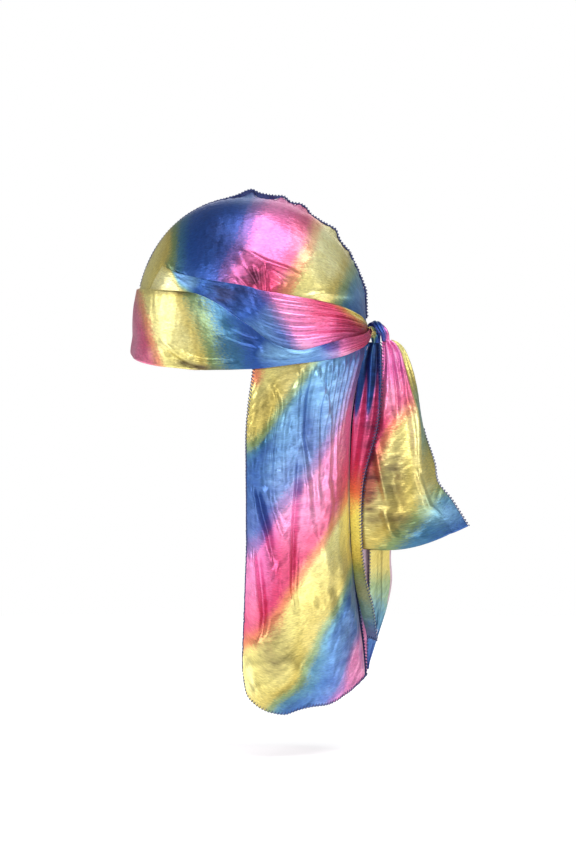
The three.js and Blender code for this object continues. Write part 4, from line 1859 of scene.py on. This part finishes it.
FOLDED_FLAP = (
    TailRow(0.119, 0, 0.167),
    TailRow(0.143, 0.057, 0.5),
    TailRow(0.131, 0.149, 0.75),
    TailRow(0.021, 0.271, 0.83),
    TailRow(-0.294, 0.424, 0.83),
    TailRow(-0.343, 0.577, 0.92),
    TailRow(-0.246, 0.706, 1),
    TailRow(-0.051, 0.81, 1),
    TailRow(0.046, 0.911, 1),
)
FOLDED_FOLD = (
    TailRow(-0.22, 0, 0),
    TailRow(-0.36, 0.057, 0.08),
    TailRow(-0.46, 0.149, 0.17),
    TailRow(-0.58, 0.271, 0.25),
    TailRow(-0.63, 0.424, 0.33),
    TailRow(-0.61, 0.577, 0.33),
    TailRow(-0.54, 0.706, 0.33),
    TailRow(-0.39, 0.81, 0.33),
    TailRow(-0.188, 0.902, 0.25),
)
FOLDED_BACK = (
    TailRow(0.094, 0, -0.167),
    TailRow(0.167, 0.057, -0.33),
    TailRow(0.24, 0.149, -0.5),
    TailRow(0.313, 0.271, -0.5),
    TailRow(0.361, 0.409, -0.5),
    TailRow(0.41, 0.547, -0.5),
    TailRow(0.41, 0.657, -0.5),
    TailRow(0.386, 0.768, -0.42),
    TailRow(-0.186, 1, 0.17),
)
FOLDED_INNER = (
    TailRow(0.08, 0, 0.0),
    TailRow(0.05, 0.1, 0.1),
    TailRow(-0.04, 0.25, 0.2),
    TailRow(-0.1, 0.4, 0.25),
    TailRow(-0.13, 0.55, 0.28),
    TailRow(-0.14, 0.66, 0.28),
    TailRow(-0.16, 0.8, 0.26),
    TailRow(-0.19, 0.9, 0.25),
    TailRow(-0.2, 1, 0.25),
)


@dataclass(frozen=True)
class TailForm:
    """A tie end that hangs from a point of the knot, as lines down its length."""

    start: tuple[float, float, float]
    width: float
    length: float
    depth: float

    def line(self, rows: Sequence[TailRow], down: Array) -> Array:
        """Points of one line.

        Args:
            rows: Its table.
            down: Share of the way down the rows.

        Returns:
            Points in mm.
        """
        places = np.linspace(0, 1, len(rows))
        left = Profile(places, [row.left for row in rows])(down)
        behind = Profile(places, [row.behind for row in rows])(down)
        drop = Profile(places, [row.down for row in rows])(down)
        return np.asarray(self.start) + np.stack(
            [left * self.depth, behind * self.width, -drop * self.length], axis=-1
        )

    def section(self, lines: Sequence[tuple[float, Array]], across: Array, rounding: float) -> Array:
        """Points between lines, with a rounded turn at each line in between.

        Args:
            lines: Share across and points of each line.
            across: Share of the way across.
            rounding: Size of the rounding, as a share across.

        Returns:
            Points in mm.
        """
        total = np.zeros((*across.shape, 3))
        spots = [spot for spot, _ in lines]
        for (first, start), (second, end) in zip(lines[:-1], lines[1:]):
            span = second - first
            low = first if first > spots[0] else None
            high = second if second < spots[-1] else None
            part = soft_part(across, first, second, rounding, low is not None, high is not None)
            total += (end - start) * (part / span)[..., None]
        return lines[0][1] + total


def soft_part(
    across: Array, first: float, second: float, rounding: float, soft_start: bool, soft_end: bool
) -> Array:
    """Length walked between two places, with soft turns where the walk starts and ends.

    Args:
        across: Where to look.
        first: Start of the stretch.
        second: End of the stretch.
        rounding: Size of a soft turn.
        soft_start: True if the stretch starts at a turn.
        soft_end: True if it ends at one.

    Returns:
        The length walked.
    """

    def walked(place: float, soft: bool) -> Array:
        """Length walked past one place.

        Args:
            place: The place.
            soft: True if the walk starts or ends softly there.

        Returns:
            The length.
        """
        offset = across - place
        size = rounding if soft else TINY
        return (offset + np.sqrt(offset**2 + size**2)) / 2

    return walked(first, soft_start) - walked(second, soft_end)


FLARE_DYE = (
    Dye(-10, 1.22),
    Dye(0, 1.26),
    Dye(42, 1.33),
    Dye(72, 1.46),
    Dye(94, 1.62),
    Dye(128, 1.69),
    Dye(162, 1.75),
    Dye(183, 1.84),
    Dye(204, 1.93),
    Dye(232, 2.0),
)
FLARE_FOLDS = (
    Fold(((140, -84), (144, -98), (152, -119), (165, -127.5), (186, -133)), 2.4, 3.4, 0.4),
    Fold(((134, -20), (141, -60), (144, -96)), 4.5, 2.4, 0.5),
    Fold(((112, -118), (118, -136), (124, -152)), 4.0, 1.4, 0.3),
    Fold(((120, -78), (122, -104), (130, -128)), 5.0, -1.4, 0.2),
    Fold(((104, -60), (110, -90), (118, -124)), 3.0, 1.4, 0.3),
    Fold(((114, 12), (115, -20), (112, -60)), 3.0, 1.4, 0.0),
    Fold(((120, 14), (123, -16), (124, -50)), 2.6, -1.6, 0.0),
    Fold(((126, 10), (131, -16), (134, -40)), 2.6, 1.4, 0.0),
    Fold(((98, -132), (130, -148), (164, -142)), 5.0, 1.0, 0.0),
)
FLARE_SHIFTS = (
    Patch(98, -86, 15, 46, -0.18),
    Patch(164, -120, 10, 10, 0.06),
)
# Painted highlights where the amount is above zero and painted shade where it is below: highlights along the
# lit fold, shade beside the inner edge and below the fold.
FLARE_PAINTED_HIGHLIGHTS_AND_SHADE = (
    Patch(120, 8, 10, 8, 0.2),
    Patch(114, -34, 12, 14, 0.3),
    Patch(141, -64, 8, 46, 0.6),
    Patch(150, -110, 8, 16, 0.5),
    Patch(160, -126, 16, 6, 0.7),
    Patch(122, -88, 15, 36, -0.75),
    Patch(126, -132, 20, 12, -0.5),
    Patch(101, -108, 10, 40, -0.8),
    Patch(122, -30, 9, 14, 0.5),
    Patch(126, -12, 9, 14, 0.2),
    Patch(118, -2, 14, 7, -0.35),
    Patch(104, -140, 14, 12, 0.12),
    Patch(170, -120, 12, 14, 0.25),
)


@dataclass
class FlaredTail(SatinPiece):
    """The tie end that fans out behind the head."""

    form: TailForm = TailForm((8.5, 111.0, 21.6), 91.0, 178.0, 20.0)
    columns: int = 130
    rows: int = 170
    fold_share: float = 0.6
    fold_rounding: float = 0.05
    bow: float = 3.0
    belly: float = 6.0
    pleats: int = 5
    pleats_end: Span = (0.05, 0.55)
    pleat_sway: float = 1.2
    pleat_lift: float = 0.9
    # Painted highlights on the pleat ridges and painted shade in their hollows near the top.
    pleat_painted_light: float = 0.25
    outer_hue: float = 0.34
    outer_hue_ends: Span = (0.3, 0.75)
    paleness: float = 0.06

    def cloth(self) -> Cloth:
        """Grid across from the inner edge over the fold to the outer edge.

        Returns:
            The sheet's grid.
        """
        across, down = grid_shares(self.columns, self.rows)
        lines = [
            (0.0, self.form.line(FLARE_EDGE, down)),
            (self.fold_share, self.form.line(FLARE_FOLD, down)),
            (1.0, self.form.line(FLARE_OUTER, down)),
        ]
        points = self.form.section(lines, across, self.fold_rounding)
        over_face = np.sin(math.pi * np.clip(across / self.fold_share, 0, 1))
        points[..., 0] += self.bow * over_face * down
        points[..., 2] -= self.belly * over_face * ease(down, 0.8, 1)
        run = run_of(points)
        normals = -Cloth(points, down, run).faces_normals()
        normals *= np.sign(normals[self.columns // 4, self.rows // 2, 0])
        sway = self.pleat_sway * np.sin(4 * down)
        gather = np.cos(2 * math.pi * self.pleats * across + sway) * (1 - ease(down, *self.pleats_end))
        drape = Ripple(seed=61, shortest=14, longest=50, lift=0.7, lean=0.0, spread=0.9)
        fine = Ripple(seed=62, shortest=4, longest=9, lift=0.1, lean=0.8, spread=0.8)
        lift = self.pleat_lift * gather * ease(down, 0.0, 0.04) + drape.over(run) * ease(down, 0, 0.1)
        lift = lift + fine.over(run)
        near = 1 - ease(across, self.fold_share - 0.05, self.fold_share + 0.1)
        lift = lift + fold_lift(FLARE_FOLDS, points[..., 1], points[..., 2]) * near
        points = points + normals * lift[..., None]
        start = self.form.start
        fall = (start[2] - points[..., 2]) + (points[..., 1] - start[1])
        dye = profile(FLARE_DYE, "at", "hue")(fall)
        side_panel = ease(across, self.fold_share - 0.02, self.fold_share + 0.06)
        dye = dye + self.outer_hue * side_panel * (1 - ease(down, *self.outer_hue_ends))
        # Painted highlights and painted shade, from the table and along the pleats.
        fade = patched(FLARE_PAINTED_HIGHLIGHTS_AND_SHADE, self.paleness, points[..., 1], points[..., 2])
        fade = fade + self.pleat_painted_light * gather
        dye = dye + patched(FLARE_SHIFTS, 0.0, points[..., 1], points[..., 2])
        return Cloth(points, dye, run, normals=unit(normals), fade=fade)


FOLDED_DYE = (
    Dye(0, 0.98),
    Dye(34, 1.02),
    Dye(46, 1.2),
    Dye(58, 1.37),
    Dye(100, 1.43),
    Dye(120, 1.52),
    Dye(150, 1.63),
    Dye(200, 1.72),
    Dye(225, 1.82),
    Dye(250, 1.92),
    Dye(278, 2.02),
)
# Painted shade where the amount is below zero, the shadow of the flared tail over the top, and painted
# highlights lower down.
FOLDED_PAINTED_HIGHLIGHTS_AND_SHADE = (
    Patch(106, -6, 14, 34, -0.75),
    Patch(102, -66, 12, 36, -0.75),
    Patch(118, -166, 8, 20, -0.2),
    Patch(100, -205, 10, 30, 0.45),
    Patch(116, -190, 6, 40, 0.3),
)


@dataclass
class FoldedTail(SatinPiece):
    """The tie end that hangs folded in thirds, with its edges towards the camera."""

    form: TailForm = TailForm((4.0, 105.6, 19.6), 35.0, 277.5, 12.0)
    columns: int = 130
    rows: int = 190
    flap_share: float = 0.3
    back_share: float = 0.7
    fold_rounding: float = 0.012
    pleats: int = 7
    pleats_end: Span = (0.1, 0.6)
    pleat_lift: float = 1.1
    # Painted highlights on the pleat ridges and painted shade in their hollows near the top.
    pleat_painted_light: float = 0.7
    ridge: float = 0.86
    ridge_width: float = 0.02
    ridge_lift: float = 1.3
    ridge_grows: Span = (0.4, 0.6)
    dye_lean: float = 0.2
    inner_drop: float = 16.0
    inner_place: Span = (0.6, 0.72)
    pleat_drop: float = 20.0
    pleat_drop_ends: Span = (0.25, 0.45)
    paleness: float = 0.06

    def cloth(self) -> Cloth:
        """Grid across from the free flap round both folds to the inner flap.

        Returns:
            The sheet's grid.
        """
        across, down = grid_shares(self.columns, self.rows)
        flap = self.form.line(FOLDED_FLAP, down)
        fold = self.form.line(FOLDED_FOLD, down)
        back = self.form.line(FOLDED_BACK, down)
        inner = self.form.line(FOLDED_INNER, down)
        lines = [(0.0, flap), (self.flap_share, fold), (self.back_share, back), (1.0, inner)]
        points = self.form.section(lines, across, self.fold_rounding)
        run = run_of(points)
        normals = -Cloth(points, down, run).faces_normals()
        normals *= np.sign(normals[self.columns // 8, self.rows // 2, 0])
        pleat = 2 * math.pi * self.pleats * across
        gather = np.cos(pleat) * (1 - ease(down, *self.pleats_end))
        drape = Ripple(seed=71, shortest=10, longest=40, lift=0.35, lean=0.0, spread=0.7)
        lift = self.pleat_lift * gather * ease(down, 0.0, 0.04) + drape.over(run) * ease(down, 0, 0.1)
        ridge = np.exp(-(((across - self.ridge) / self.ridge_width) ** 2))
        lift = lift + self.ridge_lift * ridge * ease(down, *self.ridge_grows)
        points = points + normals * lift[..., None]
        start = self.form.start
        fall = start[2] - points[..., 2] + self.dye_lean * (points[..., 1] - start[1])
        fall = fall + self.inner_drop * ease(across, *self.inner_place)
        fall = fall - self.pleat_drop * np.cos(pleat + 0.8) * (1 - ease(down, *self.pleat_drop_ends))
        dye = profile(FOLDED_DYE, "at", "hue")(fall)
        # Painted shade and painted highlights from the table, and light and dark stripes painted along the
        # pleats near the top.
        fade = patched(FOLDED_PAINTED_HIGHLIGHTS_AND_SHADE, self.paleness, points[..., 1], points[..., 2])
        fade = fade + self.pleat_painted_light * np.cos(pleat) ** 3 * (1 - ease(down, 0.12, 0.3))
        return Cloth(points, dye, run, normals=unit(normals), fade=fade)


class KnotRow(NamedTuple):
    """A place on a bundle's path, in mm from the middle of the nape between the strap ends."""

    across: float
    out: float
    up: float


@dataclass
class KnotBundle(SatinPiece):
    """Cloth gathered into a pleated rope through the knot."""

    path: tuple[KnotRow, ...] = ()
    radius: float = 3.7
    level: float = 28.5
    pleats: int = 7
    pleat_depth: float = 0.16
    pleat_sharpness: float = 0.7
    pleat_twist: float = 1.5
    twist: float = 1.4
    closing: float = 0.985
    end_width: float = 0.8
    wall: float = 0.5
    hue_start: float = 1.0
    hue_end: float = 1.0
    hue_spread: float = 0.1
    columns: int = 84
    rows: int = 70

    def cloth(self) -> Cloth:
        """Grid round and along the rope; its two long edges meet in one pleat.

        Returns:
            The sheet's grid.
        """
        around, along = grid_shares(self.columns, self.rows)
        places = np.linspace(0, 1, len(self.path))
        centre = np.stack([
            Profile(places, [row.across for row in self.path])(along),
            Profile(places, [HEAD.half_length + row.out for row in self.path])(along),
            Profile(places, [self.level + row.up for row in self.path])(along),
        ], axis=-1)
        tangent = unit(np.gradient(centre, axis=1))
        side = unit(np.cross(tangent, np.array([0.3, 1.0, 0.2])))
        other = np.cross(tangent, side)
        angle = 2 * math.pi * around * self.closing + self.twist * along
        ribs = np.sin(self.pleats * math.pi * around + self.pleat_twist * along)
        pleat = np.abs(ribs) ** self.pleat_sharpness
        swell = mix(self.end_width, 1.0, np.sin(math.pi * along))
        radius = self.radius * swell * (1 - self.pleat_depth + 2 * self.pleat_depth * pleat)
        outward = side * np.cos(angle)[..., None] + other * np.sin(angle)[..., None]
        points = centre + outward * radius[..., None]
        dye = mix(self.hue_start, self.hue_end, along) + self.hue_spread * np.sin(4 * math.pi * around)
        return Cloth(points, dye, run_of(points), wall=self.wall, normals=outward)


CORE_PATH = (
    KnotRow(14.5, 2.0, 0.5),
    KnotRow(11.0, 3.6, 0.5),
    KnotRow(6.5, 4.9, -0.5),
    KnotRow(4.6, 7.6, -3.5),
    KnotRow(4.6, 8.4, -9.5),
)
LOOP_PATH = (
    KnotRow(-14.5, 2.0, 1.0),
    KnotRow(-11.0, 3.4, 1.6),
    KnotRow(-6.0, 5.2, 4.0),
    KnotRow(0.0, 8.2, 5.2),
    KnotRow(5.8, 11.8, 2.8),
    KnotRow(8.3, 15.4, -1.8),
    KnotRow(8.4, 16.4, -7.4),
)


@dataclass
class OverlockEdge:
    """Thread wound round a cloth edge in slanting loops."""

    name: str
    thread: bpy.types.Material
    reach: float = 2.4
    overhang: float = 0.6
    thickness: float = 0.75
    pitch: float = 2.8
    strand: float = 0.42
    loop_points: int = 8
    strand_sides: int = 4

    def make(self, edge: Array, inward: Array, normal: Array) -> bpy.types.Object:
        """Winds the thread along an edge.

        Args:
            edge: Points of the edge in mm.
            inward: Direction from the edge into the cloth, at each point.
            normal: Direction off the cloth, at each point.

        Returns:
            The piece.
        """
        steps = np.linalg.norm(np.diff(edge, axis=0), axis=1)
        walked = np.concatenate([[0.0], np.cumsum(steps)])
        loops = max(2, int(walked[-1] / self.pitch))
        place = np.linspace(0, walked[-1], loops * self.loop_points + 1)
        turn = 2 * math.pi * place / self.pitch
        centre, into, off = (
            np.stack([np.interp(place, walked, values[:, axis]) for axis in range(3)], axis=-1)
            for values in (edge, inward, normal)
        )
        into, off = unit(into), unit(off)
        out = self.reach * (0.5 - 0.5 * np.cos(turn)) - self.overhang
        lift = self.thickness * np.sin(turn)
        path = centre + into * out[:, None] + off * lift[:, None]
        piece = self.tube(path)
        piece.data.materials.append(self.thread)
        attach(piece, ROOT)
        LOG.info("%s: %d loops over %.0f mm", self.name, loops, walked[-1])
        return piece

    def tube(self, path: Array) -> bpy.types.Object:
        """Thin closed tube along a path.

        Args:
            path: Points in mm.

        Returns:
            The object.
        """
        tangent = unit(np.gradient(path, axis=0))
        side = unit(np.cross(tangent, np.array([0.31, 0.52, 0.79])))
        other = np.cross(tangent, side)
        angles = 2 * math.pi * np.arange(self.strand_sides) / self.strand_sides
        rings = np.stack([
            path + self.strand * (side * math.cos(angle) + other * math.sin(angle)) for angle in angles
        ], axis=1)
        count, sides = rings.shape[:2]
        index = np.arange(count * sides).reshape(count, sides)
        turned = np.roll(index, -1, axis=1)
        walls = np.stack([index[:-1], turned[:-1], turned[1:], index[1:]], axis=-1).reshape(-1, 4)
        ends = np.stack([index[0][::-1], index[-1]])
        return Maker.mesh(self.name, rings.reshape(-1, 3), np.concatenate([walls, ends]))


@dataclass
class SeamRuffle:
    """Seam allowance that stands up from the cloth, folded into a wavy strip.

    The strip is narrower than any sheet that can be declared. So it is declared with the
    The fields declared_width, in metres, and declared_share, the flat area's share of its rectangle, are
    stand-ins that nothing reads, and neither is a measure of the strip.
    """

    node: str
    thread: bpy.types.Material
    wall: float = 0.9
    rows: int = 8
    lean_power: float = 1.5
    declared_width: float = 0.011
    declared_share: float = 0.31

    def make(
        self, foot: Array, up: Array, stand: Array, sway: Array, dye: Array
    ) -> tuple[Array, Array, Array]:
        """Builds the strip.

        Args:
            foot: Points of the seam line in mm.
            up: Direction off the cloth at each point.
            stand: Height of the strip at each point.
            sway: Sideways lean of its top at each point.
            dye: Hue at each point.

        Returns:
            The top edge, the direction into the strip and the direction off it.
        """
        share = shares(self.rows)
        sideways = np.array([1.0, 0.0, 0.0])
        points = (
            foot[:, None]
            + up[:, None] * (stand[:, None] * share)[..., None]
            + sideways * (sway[:, None] * share**self.lean_power)[..., None]
        )
        cloth = Cloth(points, np.repeat(dye[:, None], self.rows, axis=1), run_of(points), wall=self.wall)
        piece = Maker.sheet(f"{self.node}_allowance", cloth)
        piece.data.materials.append(self.thread)
        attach(piece, ROOT)
        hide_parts(self.node)
        return points[:, -1], -up, cloth.faces_normals()[:, -1]


class Lamp(NamedTuple):
    """A round studio light: its place in mm, its width in metres and its power in watts."""

    name: str
    place: tuple[float, float, float]
    width: float
    power: float


LAMPS = (
    Lamp("key", (900, 400, 2000), 2.2, 50.0),
    Lamp("side", (2400, -900, 700), 1.1, 24.0),
    Lamp("front", (700, -2100, 500), 1.0, 9.0),
    Lamp("back", (1300, 2000, 200), 1.0, 9.0),
    Lamp("far", (-2100, 200, 900), 1.5, 5.0),
)


@dataclass(frozen=True)
class Studio:
    """Pale floor, soft light and the camera of the picture."""

    aim: tuple[float, float, float] = (0.0, 31.45, -56.95)
    distance: float = 6000.0
    elevation: float = 3.0
    lens: float = 294.2
    sensor: float = 36.0
    floor_level: float = -330.0
    floor_reach: float = 1500.0
    floor_sides: int = 48
    floor_paleness: float = 0.9
    floor_roughness: float = 0.9
    floor_glow: float = 0.5
    air_colour: tuple[float, float, float, float] = (0.9, 0.95, 1.0, 1.0)
    air_strength: float = 0.24

    def build(self) -> None:
        """Makes the floor, the lights, the world and the camera."""
        self.floor()
        self.world()
        for lamp in LAMPS:
            self.light(lamp)
        self.camera()
        bpy.context.scene.view_settings.view_transform = "Standard"

    def floor(self) -> None:
        """A plain pale floor."""
        sides = self.floor_sides
        angles = 2 * math.pi * np.arange(sides) / sides
        rim = self.floor_reach * np.stack([np.cos(angles), np.sin(angles), np.zeros(sides)], axis=-1)
        corners = np.concatenate([rim, np.zeros((1, 3))]) + np.array([0.0, 0.0, self.floor_level])
        start = np.arange(0, sides, 2)
        faces = np.stack([start, start + 1, (start + 2) % sides, np.full(sides // 2, sides)], axis=-1)
        floor = Maker.mesh("floor", corners, faces)
        made = bpy.data.materials.new("pale_floor")
        made.use_nodes = True
        shader = made.node_tree.nodes["Principled BSDF"]
        shader.inputs["Base Color"].default_value = (*[self.floor_paleness] * 3, 1.0)
        shader.inputs["Roughness"].default_value = self.floor_roughness
        shader.inputs["Emission Color"].default_value = (1.0, 1.0, 1.0, 1.0)
        shader.inputs["Emission Strength"].default_value = self.floor_glow
        floor.data.materials.append(made)

    def world(self) -> None:
        """A white surround that gives a softer light than it shows."""
        world = bpy.data.worlds.new("studio")
        world.use_nodes = True
        tree = world.node_tree
        shown = tree.nodes["Background"]
        shown.inputs["Color"].default_value = (1.0, 1.0, 1.0, 1.0)
        shown.inputs["Strength"].default_value = 1.0
        given = tree.nodes.new("ShaderNodeBackground")
        given.inputs["Color"].default_value = self.air_colour
        given.inputs["Strength"].default_value = self.air_strength
        path = tree.nodes.new("ShaderNodeLightPath")
        choice = tree.nodes.new("ShaderNodeMixShader")
        tree.links.new(path.outputs["Is Camera Ray"], choice.inputs[0])
        tree.links.new(given.outputs[0], choice.inputs[1])
        tree.links.new(shown.outputs[0], choice.inputs[2])
        tree.links.new(choice.outputs[0], tree.nodes["World Output"].inputs["Surface"])
        bpy.context.scene.world = world

    @staticmethod
    def light(lamp: Lamp) -> None:
        """A soft round light that looks at the durag.

        Args:
            lamp: Its row in the table.
        """
        data = bpy.data.lights.new(lamp.name, "AREA")
        data.shape = "DISK"
        data.size = lamp.width
        data.energy = lamp.power
        light = bpy.data.objects.new(lamp.name, data)
        light.location = Vector(lamp.place) * MM
        light.rotation_mode = "QUATERNION"
        light.rotation_quaternion = (-light.location).to_track_quat("-Z", "Y")
        bpy.context.scene.collection.objects.link(light)

    def camera(self) -> None:
        """The camera, at the photograph's angle from the wearer's left."""
        data = bpy.data.cameras.new("camera")
        data.lens = self.lens
        data.sensor_width = self.sensor
        camera = bpy.data.objects.new("camera", data)
        rise = math.radians(self.elevation)
        back = Vector((math.cos(rise), 0.0, math.sin(rise)))
        camera.location = (Vector(self.aim) + back * self.distance) * MM
        camera.rotation_mode = "QUATERNION"
        camera.rotation_quaternion = (-back).to_track_quat("-Z", "Y")
        bpy.context.scene.collection.objects.link(camera)
        bpy.context.scene.camera = camera


CROWN_SEAM_STEPS = 420
CROWN_SEAM_FRONT = 15.0
CROWN_SEAM_REAR = 179.0
CROWN_SEAM_LENGTH = 310.0
SEAM_SINK = 0.4
STITCH_RISE_FRONT = -0.45
STITCH_RISE_REAR = 0.2
CAPE_SEAM_STEPS = 300
CAPE_SEAM_STAND = 1.7


def sew_crown_seam(thread: bpy.types.Material) -> None:
    """Makes the ruffled seam allowance over the crown and its overlock.

    Args:
        thread: Finish of the overlock thread that covers it.
    """
    steps = CROWN_SEAM_STEPS
    over = mix(CROWN_SEAM_FRONT / 180, CROWN_SEAM_REAR / 180, shares(steps))
    foot = CROWN.base(1, over, np.zeros(steps))
    up = HEAD.normal(foot)
    foot = foot + up * (CROWN.ruffle(over, np.zeros(steps), foot[:, 2]) - SEAM_SINK)[:, None]
    foot[:, 0] = 0.0
    stand = profile(RUFFLE_ROWS, "over", "stand")(180 * over)
    length = over * CROWN_SEAM_LENGTH
    wave = Ripple(seed=81, shortest=7, longest=16, lift=1.0, spread=0.01)
    sway = wave(length, np.zeros(steps)) * ease(over, 0.25, 0.45)
    dye = crown_dye(foot[:, 1], foot[:, 2])
    edge, inward, normal = SeamRuffle("crown_seam", thread).make(foot, up, stand, sway, dye)
    edge = edge + up * mix(STITCH_RISE_FRONT, STITCH_RISE_REAR, ease(over, 0.3, 0.65))[:, None]
    OverlockEdge("crown_seam_overlock", thread).make(edge, inward, normal)


def sew_cape_seam(thread: bpy.types.Material) -> None:
    """Makes the seam allowance down the cape and its overlock.

    Args:
        thread: Finish of the overlock thread that covers it.
    """
    steps = CAPE_SEAM_STEPS
    down = shares(steps)
    foot = CAPE.point(Side.LEFT, (), np.ones(steps), down)
    foot[:, 0] = 0.0
    up = np.tile(np.array([0.0, 1.0, 0.0]), (steps, 1))
    wave = Ripple(seed=82, shortest=9, longest=26, lift=0.6, spread=0.01)
    sway = wave(-foot[:, 2], np.zeros(steps))
    dye = cape_dye(foot[:, 1], foot[:, 2])
    stand = np.full(steps, CAPE_SEAM_STAND)
    edge, inward, normal = SeamRuffle("cape_seam", thread).make(foot, up, stand, sway, dye)
    OverlockEdge("cape_seam_overlock", thread).make(edge, inward, normal)


def overlock(
    name: str,
    cloth: Cloth,
    edges: Sequence[str],
    thread: bpy.types.Material,
    start: float = 0.0,
    overhang: float = 0.6,
) -> None:
    """Overlocks the free edges of a sheet.

    Args:
        name: Name of the sheet's node.
        cloth: Its grid.
        edges: Which edges: start or end across, or bottom.
        thread: Finish of the thread.
        start: Share of an edge's length that is turned under before the thread shows.
        overhang: How far the loops stand past the edge, in mm.
    """
    points, normals = cloth.points, cloth.faces_normals()
    lines = {
        "start": (points[0], points[3] - points[0], normals[0]),
        "end": (points[-1], points[-4] - points[-1], normals[-1]),
        "bottom": (points[:, -1], points[:, -4] - points[:, -1], normals[:, -1]),
    }
    for edge in edges:
        first = int(start * len(lines[edge][0]))
        shown = [values[first:] for values in lines[edge]]
        sewn = OverlockEdge(f"{name}_{edge}_overlock", thread, overhang=overhang, thickness=0.65)
        sewn.make(*shown)


def main() -> None:
    """Builds the durag piece by piece, then the studio."""
    logging.basicConfig(level=logging.INFO, format="%(message)s")
    LOG.info("frame: %d solids", len(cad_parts))
    satin = DyedSatin().material()
    thread = OverlockThread().material()

    CrownPanel("crown_panel_left", satin, Hold.STRETCHED, ("brow_band",), side=Side.LEFT).make()
    CrownPanel(
        "crown_panel_right", satin, Hold.STRETCHED, ("brow_band",), side=Side.RIGHT, columns=170, rows=80
    ).make()
    sew_crown_seam(thread)
    BrowBand("brow_band", satin, Hold.STRETCHED, ("crown_panel_left",)).make()
    TempleStrap("temple_strap_left", satin, Hold.GATHERED, ("crown_panel_left",), side=Side.LEFT).make()
    TempleStrap(
        "temple_strap_right", satin, Hold.GATHERED, ("crown_panel_right",), side=Side.RIGHT,
        columns=150, rows=80,
    ).make()

    KnotBundle(
        "knot_core", satin, Hold.GATHERED, ("temple_strap_left",), path=CORE_PATH, hue_start=0.7, hue_end=1.0
    ).make()
    KnotBundle(
        "knot_loop", satin, Hold.GATHERED, ("temple_strap_right",), path=LOOP_PATH, radius=3.4,
        hue_start=0.9, hue_end=1.2,
    ).make()
    flared = FlaredTail("flared_tail", satin, Hold.HUNG, ("knot_loop",)).make()
    overlock("flared_tail", flared, ("start",), thread)
    overlock("flared_tail", flared, ("end",), thread, start=0.52, overhang=1.6)
    folded = FoldedTail("folded_tail", satin, Hold.FOLDED, ("knot_core",)).make()
    overlock("folded_tail", folded, ("start", "end", "bottom"), thread)

    left = CapePanel("cape_panel_left", satin, Hold.HUNG, ("crown_panel_left",), side=Side.LEFT).make()
    overlock("cape_panel_left", left, ("start", "bottom"), thread)
    right = CapePanel(
        "cape_panel_right", satin, Hold.HUNG, ("crown_panel_right",), side=Side.RIGHT, folds=RIGHT_CAPE_FOLDS,
        columns=130, rows=150,
    ).make()
    overlock("cape_panel_right", right, ("end", "bottom"), thread)
    sew_cape_seam(thread)

    Studio().build()


if __name__ == "__main__":
    main()
